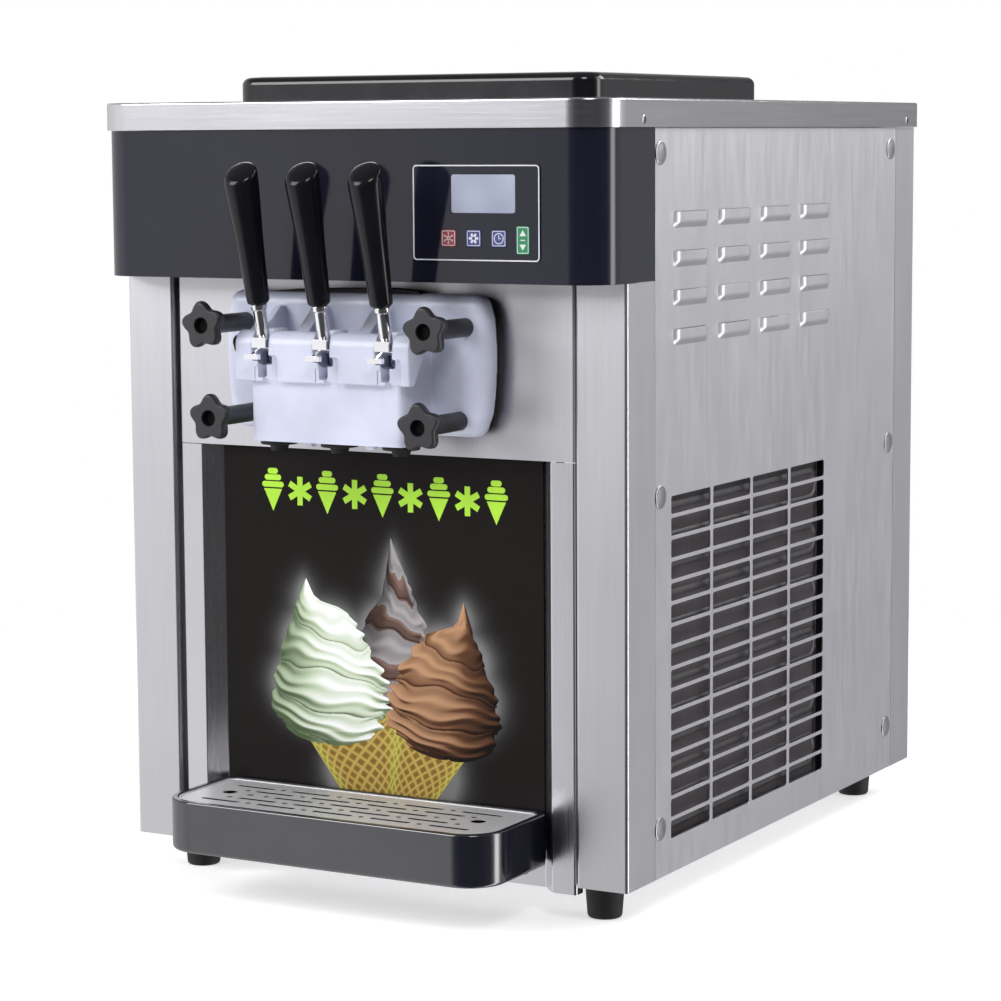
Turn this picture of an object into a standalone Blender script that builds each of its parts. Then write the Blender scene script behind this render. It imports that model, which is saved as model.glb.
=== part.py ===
"""Countertop soft serve machine: two hoppers, two freezing cylinders, three draw handles.

Metres, +Z up, the front faces -Y. The origin is at the bottom centre of the whole machine.
Depths inside the machine are stated from the front face of the posts, through back().
"""

import math

import bmesh
import bpy
from mathutils import Matrix, Vector

MM = 0.001
GAP = 0.3 * MM

# Casing
HALF_WIDTH = 265 * MM
FRONT_Y = -279.2 * MM
DEPTH = 674.7 * MM
BODY_LOW = 35.3 * MM
RIM_LOW = 710.4 * MM
RIM_HIGH = 735.6 * MM
RIM_OVERHANG = 4 * MM
SHEET = 1.5 * MM
POST_FACE = 51 * MM
FRONT_POST_DEPTH = 55 * MM
REAR_POST_DEPTH = 52.4 * MM
SEAM = 0.6 * MM
BODY_HIGH = RIM_LOW - GAP

# Front
FASCIA_LOW = 575.7 * MM
FASCIA_OUT = 45 * MM
FASCIA_CORNER = 35 * MM
FASCIA_WALL = 3 * MM
PANEL_HALF = 211 * MM
PANEL_IN = 5 * MM
PANEL_SPLIT = 416.5 * MM
RECESS_HALF = 172.4 * MM
RECESS_MOUTH = 186.5 * MM
RECESS_IN = 20.4 * MM

# Control panel, on the front of the fascia
BEZEL = (77.5 * MM, 204.5 * MM, 595 * MM, 679 * MM)
WINDOW = (116 * MM, 180.5 * MM, 636.5 * MM, 670.7 * MM)
KEY_SIZE = 15.4 * MM
KEY_Z = 615 * MM
KEY_XS = {"key_cool": 114 * MM, "key_freeze": 139.2 * MM, "key_clock": 164.3 * MM}
ROCKER = (181.2 * MM, 194.8 * MM, 601 * MM, 626.6 * MM)
KEY_PROUD = 0.7 * MM

# Dispensing head
FLAVOUR_PITCH = 64.5 * MM
CYLINDER_Z = 505 * MM
PLATE_OUT = 22 * MM
PLATE_LOW = 437 * MM
PLATE_HIGH = 564 * MM
BLOCK_HALF = 80 * MM
BLOCK_LOW = 431 * MM
BLOCK_HIGH = 526 * MM
BLOCK_OUT = 71 * MM
BARREL_HALF = 91 * MM
BARREL_RADIUS = 13 * MM
SLAB_LOW = 486 * MM
PIVOT_OUT = 65 * MM
PIVOT_Z = 518 * MM
PIN_RADIUS = 4 * MM
PISTON_OUT = 48 * MM
PISTON_RADIUS = 9 * MM
NOZZLE_LOW = 421 * MM
HANDLE_OPEN = 40
KNOB_PLACES = {
    "knob_upper_left": (-116 * MM, 535.5 * MM),
    "knob_upper_right": (116 * MM, 535.5 * MM),
    "knob_lower_left": (-109.5 * MM, 452 * MM),
    "knob_lower_right": (109.5 * MM, 452 * MM),
}
KNOB_OUT = 96 * MM
KNOB_RADIUS = 22 * MM

# Drip tray
TRAY_X = 3 * MM
TRAY_HALF = 174.5 * MM
TRAY_OUT = 100.5 * MM
TRAY_LOW = 48.5 * MM
TRAY_HIGH = 97 * MM
TRAY_CORNER = 36 * MM
TRAY_REAR_HALF = 167.4 * MM
TRAY_REAR_IN = 18.7 * MM

# Hoppers and lid
LID_HALF = 192.6 * MM
LID_FRONT = 76.6 * MM
LID_REAR = 442.7 * MM
HOPPER_X = 92 * MM
HOPPER_HALF = 84 * MM
HOPPER_FRONT = 106 * MM
HOPPER_REAR = 414 * MM
HOPPER_LOW = 612 * MM

# Inside the machine
CYLINDER_RADIUS = 58 * MM
CYLINDER_BORE = 48.5 * MM
CYLINDER_LENGTH = 325 * MM
SHAFT_RADIUS = 8 * MM
MOTOR_Z = 305 * MM
PULLEY_DEPTH = 455 * MM
MOTOR_PULLEY = 30 * MM
GEARBOX_PULLEY = 60 * MM
FAN_DEPTH = 263 * MM
FAN_Z = 225 * MM

FOOT_X = 219.9 * MM
FOOT_DEPTHS = {"front": 44 * MM, "rear": 630 * MM}

# Material: colour, metallic, roughness
MATERIALS = {
    "steel": ((0.58, 0.57, 0.59), 1.0, 0.32),
    "sheet": ((0.50, 0.50, 0.52), 1.0, 0.42),
    "fascia": ((0.035, 0.035, 0.045), 0.0, 0.12),
    "black": ((0.012, 0.012, 0.013), 0.0, 0.25),
    "knob": ((0.055, 0.055, 0.06), 0.0, 0.55),
    "white": ((0.62, 0.64, 0.78), 0.0, 0.3),
    "chrome": ((0.85, 0.85, 0.87), 1.0, 0.08),
    "rubber": ((0.015, 0.015, 0.015), 0.0, 0.8),
    "display": ((0.28, 0.32, 0.45), 0.0, 0.2),
    "red": ((0.35, 0.04, 0.04), 0.0, 0.35),
    "blue": ((0.04, 0.05, 0.22), 0.0, 0.35),
    "green": ((0.02, 0.3, 0.1), 0.0, 0.35),
    "poster": ((0.02, 0.018, 0.016), 0.0, 0.3),
    "paint": ((0.02, 0.02, 0.022), 0.0, 0.5),
    "alloy": ((0.55, 0.55, 0.56), 1.0, 0.45),
    "insulation": ((0.05, 0.05, 0.05), 0.0, 0.9),
}


# ---------------------------------------------------------------- tools


def clear_scene():
    for obj in list(bpy.data.objects):
        bpy.data.objects.remove(obj, do_unlink=True)


def back(depth):
    """The Y of a plane this far behind the front face of the posts."""
    return FRONT_Y + depth


def material(name):
    made = bpy.data.materials.get(name)
    if made:
        return made
    colour, metallic, roughness = MATERIALS[name]
    made = bpy.data.materials.new(name)
    made.use_nodes = True
    shader = made.node_tree.nodes["Principled BSDF"]
    shader.inputs["Base Color"].default_value = (*colour, 1)
    shader.inputs["Metallic"].default_value = metallic
    shader.inputs["Roughness"].default_value = roughness
    made.diffuse_color = (*colour, 1)
    return made


def arc(centre_u, centre_v, radius, start, end, steps):
    """Points of an arc in a plane, angles in degrees, both ends included."""
    points = []
    for i in range(steps + 1):
        angle = math.radians(start + (end - start) * i / steps)
        points.append((centre_u + radius * math.cos(angle), centre_v + radius * math.sin(angle)))
    return points


def rounded_rectangle(low_u, high_u, low_v, high_v, radius, steps=3):
    points = arc(high_u - radius, low_v + radius, radius, -90, 0, steps)
    points += arc(high_u - radius, high_v - radius, radius, 0, 90, steps)
    points += arc(low_u + radius, high_v - radius, radius, 90, 180, steps)
    return points + arc(low_u + radius, low_v + radius, radius, 180, 270, steps)


def place(u, v, along, axis):
    """A point of a plane across an axis, at a distance along that axis."""
    if axis == "X":
        return Vector((along, u, v))
    if axis == "Y":
        return Vector((u, along, v))
    return Vector((u, v, along))


def loft(rings, looped=False):
    """A skin over rings of equal length, with flat ends, or joined end to end when looped."""
    mesh = bmesh.new()
    rows = [[mesh.verts.new(point) for point in ring] for ring in rings]
    count = len(rings[0])
    pairs = list(zip(rows, rows[1:]))
    if looped:
        pairs.append((rows[-1], rows[0]))
    for low, high in pairs:
        for i in range(count):
            following = (i + 1) % count
            mesh.faces.new((low[i], low[following], high[following], high[i]))
    if not looped:
        mesh.faces.new(reversed(rows[0]))
        mesh.faces.new(rows[-1])
    if mesh.calc_volume(signed=True) < 0:
        bmesh.ops.reverse_faces(mesh, faces=mesh.faces)
    return mesh


def prism(outline, axis, low, high):
    return loft([[place(u, v, along, axis) for u, v in outline] for along in (low, high)])


def box(low_x, high_x, low_y, high_y, low_z, high_z):
    outline = [(low_x, low_y), (high_x, low_y), (high_x, high_y), (low_x, high_y)]
    return prism(outline, "Z", low_z, high_z)


def turned(profile, centre, axis, steps, looped=False):
    """A turned solid. The profile is a list of (radius, distance along the axis from centre)."""
    rings = []
    for radius, along in profile:
        ring = []
        for i in range(steps):
            angle = 2 * math.pi * i / steps
            u, v = radius * math.cos(angle), radius * math.sin(angle)
            ring.append(Vector(centre) + place(u, v, along, axis))
        rings.append(ring)
    return loft(rings, looped)


def rod(radius, centre, axis, low, high, steps=16):
    return turned([(radius, low), (radius, high)], centre, axis, steps)


def together(*meshes):
    """Several separate shapes in one mesh, to cut or join with in one go."""
    first = meshes[0]
    for other in meshes[1:]:
        data = bpy.data.meshes.new("together")
        other.to_mesh(data)
        other.free()
        first.from_mesh(data)
        bpy.data.meshes.remove(data)
    return first


def make_object(name, mesh):
    data = bpy.data.meshes.new(name)
    mesh.to_mesh(data)
    mesh.free()
    obj = bpy.data.objects.new(name, data)
    bpy.context.scene.collection.objects.link(obj)
    return obj


def apply_boolean(obj, mesh, operation):
    tool = make_object("tool", mesh)
    modifier = obj.modifiers.new("boolean", "BOOLEAN")
    modifier.object = tool
    modifier.operation = operation
    modifier.solver = "EXACT"
    graph = bpy.context.evaluated_depsgraph_get()
    result = bpy.data.meshes.new_from_object(obj.evaluated_get(graph))
    obj.modifiers.clear()
    previous = obj.data
    obj.data = result
    bpy.data.meshes.remove(previous)
    used = tool.data
    bpy.data.objects.remove(tool, do_unlink=True)
    bpy.data.meshes.remove(used)


def node(name, look, base, joins=(), cuts=(), pivot=None, parent=None, smooth=True):
    """One named piece: a base shape, the shapes joined to it, and the shapes cut out of it."""
    obj = make_object(name, base)
    for piece in joins:
        apply_boolean(obj, piece, "UNION")
    for piece in cuts:
        apply_boolean(obj, piece, "DIFFERENCE")
    obj.data.name = name
    obj.data.materials.clear()
    obj.data.materials.append(material(look))
    if smooth:
        obj.data.shade_smooth()
        obj.data.set_sharp_from_angle(angle=math.radians(38))
    if pivot is not None:
        obj.data.transform(Matrix.Translation(-Vector(pivot)))
        obj.location = pivot
    if parent is not None:
        obj.parent = parent
        obj.matrix_parent_inverse = Matrix.Translation(parent.location).inverted()
    return obj


def rounded_path(points, radius, steps=3):
    """A path in a plane whose inner corners are arcs."""
    path = [Vector(points[0])]
    for before, corner, after in zip(points, points[1:], points[2:]):
        corner = Vector(corner)
        arriving = (Vector(before) - corner).normalized()
        leaving = (Vector(after) - corner).normalized()
        half = arriving.angle(leaving) / 2
        centre = corner + (arriving + leaving).normalized() * radius / math.sin(half)
        start = corner + arriving * radius / math.tan(half) - centre
        end = corner + leaving * radius / math.tan(half) - centre
        for i in range(steps + 1):
            path.append(centre + start.normalized().slerp(end.normalized(), i / steps) * radius)
    path.append(Vector(points[-1]))
    return path


def bent_sheet(path, thickness):
    """The outline of a bent sheet: the path, and the path again one thickness to its left."""
    inner = []
    for i, point in enumerate(path):
        before = path[max(i - 1, 0)]
        after = path[min(i + 1, len(path) - 1)]
        into = (point - before).normalized() if i else (after - point).normalized()
        out = (after - point).normalized() if i < len(path) - 1 else into
        left_in = Vector((-into.y, into.x))
        left_out = Vector((-out.y, out.x))
        middle = (left_in + left_out).normalized()
        inner.append(point + middle * thickness / middle.dot(left_in))
    return [tuple(p) for p in path] + [tuple(p) for p in reversed(inner)]


def mirrored_x(points):
    return [(-x, y) for x, y in reversed(points)]


# ---------------------------------------------------------------- casing


def base_pan():
    low_y, high_y = back(24 * MM), back(DEPTH - 3 * MM)
    half = HALF_WIDTH - SHEET - GAP
    inside = box(-half + SHEET, half - SHEET, low_y + SHEET, high_y - SHEET,
                 BODY_LOW + SHEET, BODY_LOW + 60 * MM)
    node("base_pan", "sheet", box(-half, half, low_y, high_y, BODY_LOW, BODY_LOW + 26 * MM),
         cuts=[inside], smooth=False)


def feet():
    profile = [(14.5 * MM, 0), (16 * MM, 1.5 * MM), (18.5 * MM, 35 * MM)]
    for side, sign in (("left", -1), ("right", 1)):
        for end, depth in FOOT_DEPTHS.items():
            centre = (sign * FOOT_X, back(depth), 0)
            node(f"foot_{end}_{side}", "rubber", turned(profile, centre, "Z", 20))


def posts():
    """Bent sheet channels. The front ones stop under the fascia, the rear ones reach the rim."""
    inner_x = HALF_WIDTH - POST_FACE
    front = [(inner_x, back(18 * MM)), (inner_x, back(0)), (HALF_WIDTH, back(0)),
             (HALF_WIDTH, back(FRONT_POST_DEPTH))]
    rear_front = back(DEPTH - REAR_POST_DEPTH)
    rear = [(HALF_WIDTH, rear_front), (HALF_WIDTH, back(DEPTH)),
            (inner_x - 2 * MM, back(DEPTH))]
    for name, points, high in (("front", front, FASCIA_LOW - GAP), ("rear", rear, BODY_HIGH)):
        outline = bent_sheet(rounded_path(points, 3 * MM, 2), SHEET)
        node(f"{name}_post_right", "steel", prism(outline, "Z", BODY_LOW, high))
        node(f"{name}_post_left", "steel", prism(mirrored_x(outline), "Z", BODY_LOW, high))


LOUVRE_LENGTH = 69.5 * MM
LOUVRE_PITCH = 94.3 * MM
LOUVRE_FRONT = 92 * MM
LOUVRE_TOP = 635.5 * MM
LOUVRE_ROW = 34.9 * MM
LOUVRE_HEIGHT = 14.5 * MM
LOUVRE_BULGE = 3.8 * MM
GRILLE_FRONT = 88.3 * MM
GRILLE_LOW = 67.2 * MM
GRILLE_CELL = (83 * MM, 16.3 * MM)
GRILLE_PITCH = (88.8 * MM, 19.84 * MM)
GRILLE_COLUMNS = 4
GRILLE_ROWS = 16
LOUVRE_COLUMNS = 4
LOUVRE_ROWS = 4


def louvre(side, start_y, top_z):
    """A pressed hood on the panel, cut along its top edge, which slopes back in at the foot."""
    inner, out = HALF_WIDTH - 0.5 * MM, HALF_WIDTH + LOUVRE_BULGE
    low_z = top_z - LOUVRE_HEIGHT
    profile = [(inner, top_z), (out, top_z), (out, low_z + 5 * MM), (inner, low_z)]
    return prism([(side * x, z) for x, z in profile], "Y", start_y, start_y + LOUVRE_LENGTH)


def side_panel(name, side):
    low_y = back(FRONT_POST_DEPTH + SEAM)
    high_y = back(DEPTH - REAR_POST_DEPTH - SEAM)
    near, far = sorted((side * HALF_WIDTH, side * (HALF_WIDTH - SHEET)))
    hoods = []
    for row in range(LOUVRE_ROWS):
        for column in range(LOUVRE_COLUMNS):
            start = back(LOUVRE_FRONT + column * LOUVRE_PITCH)
            top = LOUVRE_TOP - row * LOUVRE_ROW
            hoods.append(louvre(side, start, top))
    cells = []
    for row in range(GRILLE_ROWS):
        for column in range(GRILLE_COLUMNS):
            start = back(GRILLE_FRONT + column * GRILLE_PITCH[0])
            low = GRILLE_LOW + row * GRILLE_PITCH[1]
            cells.append(box(near - MM, far + MM, start, start + GRILLE_CELL[0],
                             low, low + GRILLE_CELL[1]))
    node(name, "sheet", box(near, far, low_y, high_y, BODY_LOW, BODY_HIGH), smooth=False,
         joins=[together(*hoods)], cuts=[together(*cells)])


INLET_X = (-150 * MM, -102 * MM)
INLET_Z = (88 * MM, 116 * MM)


def rear_panel():
    half = HALF_WIDTH - POST_FACE - 2 * MM - SEAM
    low_y, high_y = back(DEPTH - SHEET), back(DEPTH)
    slots = []
    for row in range(10):
        for side in (-1, 1):
            low_z = 300 * MM + row * 26 * MM
            near, far = sorted((side * 14 * MM, side * 184 * MM))
            slots.append(box(near, far, low_y - MM, high_y + MM, low_z, low_z + 10 * MM))
    opening = box(INLET_X[0] + 2 * MM, INLET_X[1] - 2 * MM, low_y - MM, high_y + MM,
                  INLET_Z[0] + 2 * MM, INLET_Z[1] - 2 * MM)
    node("rear_panel", "sheet", box(-half, half, low_y, high_y, BODY_LOW, BODY_HIGH),
         cuts=[together(opening, *slots)], smooth=False)


def power_inlet():
    """An appliance inlet: a flange outside the rear panel, a body inside and three blades."""
    outside = back(DEPTH) + GAP
    low_x, high_x = INLET_X
    low_z, high_z = INLET_Z
    flange = box(low_x, high_x, outside, outside + 2 * MM, low_z, high_z)
    body = box(low_x + 3 * MM, high_x - 3 * MM, outside - 22 * MM, outside + MM,
               low_z + 3 * MM, high_z - 3 * MM)
    middle_x = (low_x + high_x) / 2
    middle_z = (low_z + high_z) / 2
    socket = rounded_rectangle(middle_x - 14 * MM, middle_x + 14 * MM,
                               middle_z - 8.5 * MM, middle_z + 8.5 * MM, 3 * MM, 1)
    blades = []
    for x, z in ((-7, -1.5), (0, 2.5), (7, -1.5)):
        blade_x, blade_z = middle_x + x * MM, middle_z + z * MM
        blades.append(box(blade_x - MM, blade_x + MM, outside - 17 * MM, outside - 2 * MM,
                          blade_z - 2 * MM, blade_z + 2 * MM))
    inlet = node("power_inlet", "black", flange, joins=[body],
                 cuts=[prism(socket, "Y", outside - 16 * MM, outside + 3 * MM)])
    apply_boolean(inlet, together(*blades), "UNION")


def rim_outline(inset):
    """The top cover from above: big corners in front like the fascia's, small ones behind."""
    half = HALF_WIDTH + RIM_OVERHANG - inset
    front_y = back(-FASCIA_OUT - 3.5 * MM) + inset
    rear_y = back(DEPTH + MM) - inset
    corner = FASCIA_CORNER + RIM_OVERHANG - inset
    small = max(6 * MM - inset, 2 * MM)
    points = arc(half - corner, front_y + corner, corner, -90, 0, 6)
    points += arc(half - small, rear_y - small, small, 0, 90, 2)
    return points + [(-x, y) for x, y in reversed(points)]


def top_cover():
    rings = [(RIM_LOW, 0), (RIM_HIGH - 2 * MM, 0), (RIM_HIGH - 0.6 * MM, 0.6 * MM), (RIM_HIGH, 2 * MM)]
    outside = loft([[(x, y, z) for x, y in rim_outline(inset)] for z, inset in rings])
    inside = prism(rim_outline(SHEET), "Z", RIM_LOW - MM, RIM_HIGH - SHEET)
    mouths = []
    for side in (-1, 1):
        half = HOPPER_HALF + GAP * 2
        outline = rounded_rectangle(side * HOPPER_X - half, side * HOPPER_X + half,
                                    back(HOPPER_FRONT) - 2 * GAP, back(HOPPER_REAR) + 2 * GAP,
                                    20.6 * MM)
        mouths.append(prism(outline, "Z", RIM_HIGH - 5 * MM, RIM_HIGH + MM))
    node("top_cover", "steel", outside, cuts=[inside, together(*mouths)])


# ---------------------------------------------------------------- front


def front_fascia():
    corner_x, front_y = HALF_WIDTH, back(-FASCIA_OUT)
    ends_y = back(FRONT_POST_DEPTH)
    points = [(-corner_x, ends_y), (-corner_x, front_y), (corner_x, front_y), (corner_x, ends_y)]
    path = rounded_path(points, FASCIA_CORNER, 6)
    walls = prism(bent_sheet(path, FASCIA_WALL), "Z", FASCIA_LOW, BODY_HIGH)
    inner_x, inner_y = corner_x - MM, front_y + MM
    floor_points = [(-inner_x, ends_y - MM), (-inner_x, inner_y), (inner_x, inner_y), (inner_x, ends_y - MM)]
    floor = prism(rounded_path(floor_points, FASCIA_CORNER - MM, 6), "Z", FASCIA_LOW, FASCIA_LOW + FASCIA_WALL)
    low_x, high_x, low_z, high_z = BEZEL
    opening = box(low_x + 2.5 * MM, high_x - 2.5 * MM, front_y - MM, front_y + 9 * MM,
                  low_z + 2.5 * MM, high_z - 2.5 * MM)
    node("front_fascia", "fascia", walls, joins=[floor], cuts=[opening])


def control_panel():
    """The bezel with its key block, the display window, three keys and a rocker."""
    front_y = back(-FASCIA_OUT)
    face_y = front_y - GAP - MM
    rear_y = front_y + 6 * MM
    low_x, high_x, low_z, high_z = BEZEL
    plate = prism(rounded_rectangle(low_x, high_x, low_z, high_z, 4 * MM, 2), "Y", face_y, front_y - GAP)
    inset = 2.8 * MM
    block = box(low_x + inset, high_x - inset, face_y + 0.4 * MM, rear_y, low_z + inset, high_z - inset)
    holes = [box(WINDOW[0], WINDOW[1], face_y - MM, rear_y + MM, WINDOW[2], WINDOW[3])]
    half = KEY_SIZE / 2
    for x in KEY_XS.values():
        holes.append(box(x - half, x + half, face_y - MM, rear_y + MM, KEY_Z - half, KEY_Z + half))
    holes.append(box(ROCKER[0], ROCKER[1], face_y - MM, rear_y + MM, ROCKER[2], ROCKER[3]))
    node("control_bezel", "black", plate, joins=[block], cuts=[together(*holes)])

    node("display_window", "display",
         box(WINDOW[0] + GAP, WINDOW[1] - GAP, face_y + 0.3 * MM, rear_y, WINDOW[2] + GAP, WINDOW[3] - GAP))

    cap = half - GAP
    looks = {"key_cool": "red", "key_freeze": "blue", "key_clock": "blue"}
    for name, x in KEY_XS.items():
        outlines = [(face_y - KEY_PROUD, cap - 0.5 * MM), (face_y - KEY_PROUD + 0.4 * MM, cap),
                    (rear_y - MM, cap)]
        rings = [[(x + u, y, KEY_Z + v) for u, v in rounded_rectangle(-r, r, -r, r, MM, 1)]
                 for y, r in outlines]
        node(name, looks[name], loft(rings), pivot=(x, face_y, KEY_Z))

    middle_x, half_x = (ROCKER[0] + ROCKER[1]) / 2, (ROCKER[1] - ROCKER[0]) / 2 - GAP
    middle_z, half_z = (ROCKER[2] + ROCKER[3]) / 2, (ROCKER[3] - ROCKER[2]) / 2 - 2 * GAP
    pivot_y = front_y + 2.5 * MM
    rings = []
    for y, shrink in ((face_y - KEY_PROUD, 0.6 * MM), (face_y - 0.2 * MM, 0.1 * MM), (rear_y - MM, 0)):
        outline = rounded_rectangle(-half_x + shrink, half_x - shrink, -half_z + shrink,
                                    half_z - shrink, MM, 1)
        rings.append([(middle_x + u, y, middle_z + v) for u, v in outline])
    node("key_up_down", "green", loft(rings), pivot=(middle_x, pivot_y, middle_z))


def front_panels():
    """Two bent sheets: a flat one round the freezing cylinders, and a recessed one below it."""
    half, plane = PANEL_HALF, back(PANEL_IN)
    upper = [(-half, plane + 13 * MM), (-half, plane), (half, plane), (half, plane + 13 * MM)]
    holes = [rod(CYLINDER_RADIUS + 0.6 * MM, (side * FLAVOUR_PITCH, plane, CYLINDER_Z), "Y",
                 -5 * MM, 5 * MM, 32) for side in (-1, 1)]
    node("upper_front_panel", "steel",
         prism(bent_sheet(rounded_path(upper, 2.5 * MM, 2), SHEET), "Z", PANEL_SPLIT + GAP, FASCIA_LOW - GAP),
         cuts=[together(*holes)])

    recess = back(RECESS_IN)
    right = [(RECESS_HALF, recess), (RECESS_MOUTH, plane), (half, plane), (half, plane + 13 * MM)]
    lower = mirrored_x(right) + right
    node("lower_front_panel", "steel",
         prism(bent_sheet(rounded_path(lower, 2.5 * MM, 2), SHEET), "Z", 26.5 * MM, PANEL_SPLIT - GAP))

    node("poster_panel", "poster",
         box(-RECESS_HALF + MM, RECESS_HALF - MM, recess - GAP - MM, recess - GAP,
             60 * MM, PANEL_SPLIT - GAP), smooth=False)


# ---------------------------------------------------------------- drip tray


def tray_outline(inset):
    """The tray from above: round front corners, and a narrower back that enters the recess.

    It stands a little to the right in the recess, where it has play.
    """
    half = TRAY_HALF - inset
    front_y = back(-TRAY_OUT) + inset
    corner = TRAY_CORNER - inset
    points = arc(half - corner, front_y + corner, corner, -90, 0, 6)
    points += [(half, back(8.5 * MM) - 0.3 * inset), (TRAY_REAR_HALF - inset, back(TRAY_REAR_IN) - inset)]
    both = points + [(-x, y) for x, y in reversed(points)]
    return [(TRAY_X + x, y) for x, y in both]


def ring_at(inset, z):
    return [(x, y, z) for x, y in tray_outline(inset)]


def drip_tray():
    outside = loft([ring_at(4 * MM, TRAY_LOW), ring_at(1.2 * MM, TRAY_LOW + 1.2 * MM),
                    ring_at(0, TRAY_LOW + 4 * MM), ring_at(0, TRAY_HIGH - 2 * MM),
                    ring_at(0.6 * MM, TRAY_HIGH - 0.6 * MM), ring_at(2 * MM, TRAY_HIGH)])
    ledge = loft([ring_at(5.5 * MM, TRAY_HIGH - 3 * MM), ring_at(5.5 * MM, TRAY_HIGH + MM)])
    basin = loft([ring_at(10 * MM, TRAY_LOW + 3 * MM), ring_at(8.5 * MM, TRAY_HIGH)])
    peg = rod(4 * MM, (160 * MM, back(0), 0), "Z", 42 * MM, TRAY_LOW + 2 * MM, 10)
    node("drip_tray", "black", outside, joins=[peg], cuts=[ledge, basin],
         pivot=(0, back(-TRAY_OUT), TRAY_LOW))


SLOT_LENGTH = 42 * MM
SLOT_PITCH = 61 * MM
SLOT_WIDTH = 6 * MM
SLOTS_IN_ROW = (5, 4, 3, 4, 5)
SLOT_ROW_PITCH = 15.2 * MM
SLOT_FIRST_ROW = -70.5 * MM
GRID_X = 1.5 * MM
FINGER_HOLE = (133.3 * MM, -37.7 * MM, 7 * MM)


def drip_grid():
    low_z, high_z = TRAY_HIGH - 3 * MM + GAP, TRAY_HIGH - 0.8 * MM
    holes = []
    finger_x, finger_depth, finger_radius = FINGER_HOLE
    for side in (-1, 1):
        centre = (GRID_X + side * finger_x, back(finger_depth), 0)
        holes.append(rod(finger_radius, centre, "Z", low_z - MM, high_z + MM, 12))
    for row, slots in enumerate(SLOTS_IN_ROW):
        y = back(SLOT_FIRST_ROW + row * SLOT_ROW_PITCH)
        for column in range(slots):
            x = GRID_X + (column - (slots - 1) / 2) * SLOT_PITCH
            outline = rounded_rectangle(x - SLOT_LENGTH / 2, x + SLOT_LENGTH / 2,
                                        y - SLOT_WIDTH / 2, y + SLOT_WIDTH / 2,
                                        SLOT_WIDTH / 2 - 0.2 * MM, 1)
            holes.append(prism(outline, "Z", low_z - MM, high_z + MM))
    node("drip_grid", "steel", loft([ring_at(6 * MM, low_z), ring_at(6 * MM, high_z)]),
         cuts=[together(*holes)], pivot=(0, back(-TRAY_OUT), TRAY_HIGH))


# ---------------------------------------------------------------- dispensing head


def plate_ring(inset, y):
    """The cover plate's outline: sides that bulge, top and bottom nearly straight."""
    low, high = PLATE_LOW + inset, PLATE_HIGH - inset
    corner = max(13 * MM - inset, 2.5 * MM)
    middle = (PLATE_LOW + PLATE_HIGH) / 2
    half_height = (PLATE_HIGH - PLATE_LOW) / 2

    def half_width(z):
        from_middle = (z - middle) / half_height
        return 142 * MM - 7.5 * MM * from_middle ** 2 + 1.5 * MM * from_middle - inset

    right = arc(half_width(low) - corner, low + corner, corner, -90, -8, 3)
    for step in range(1, 4):
        z = low + corner + (high - low - 2 * corner) * step / 4
        right.append((half_width(z), z))
    right += arc(half_width(high) - corner, high - corner, corner, 8, 90, 3)
    outline = right + [(-x, z) for x, z in reversed(right)]
    return [(x, y, z) for x, z in outline]


def head_block():
    """The block in front of the plate, with round front edges."""
    front_y, rear_y = back(-BLOCK_OUT), back(-PLATE_OUT + 6 * MM)
    corner = 6 * MM
    points = arc(BLOCK_HALF - corner, front_y + corner, corner, -90, 0, 3) + [(BLOCK_HALF, rear_y)]
    outline = points + [(-x, y) for x, y in reversed(points)]
    return prism(outline, "Z", BLOCK_LOW, BLOCK_HIGH)


def barrel():
    """The round-topped bar that carries the pivot pin, with its slab down the front."""
    front_y = back(-PIVOT_OUT) - BARREL_RADIUS
    points = [(front_y, SLAB_LOW)] + [(front_y + 9 * MM, SLAB_LOW)]
    top = arc(back(-PIVOT_OUT), PIVOT_Z, BARREL_RADIUS, 0, 180, 8)
    points += [(back(-PIVOT_OUT) + BARREL_RADIUS, PIVOT_Z - 9 * MM)] + top
    return prism(points, "X", -BARREL_HALF, BARREL_HALF)


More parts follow.
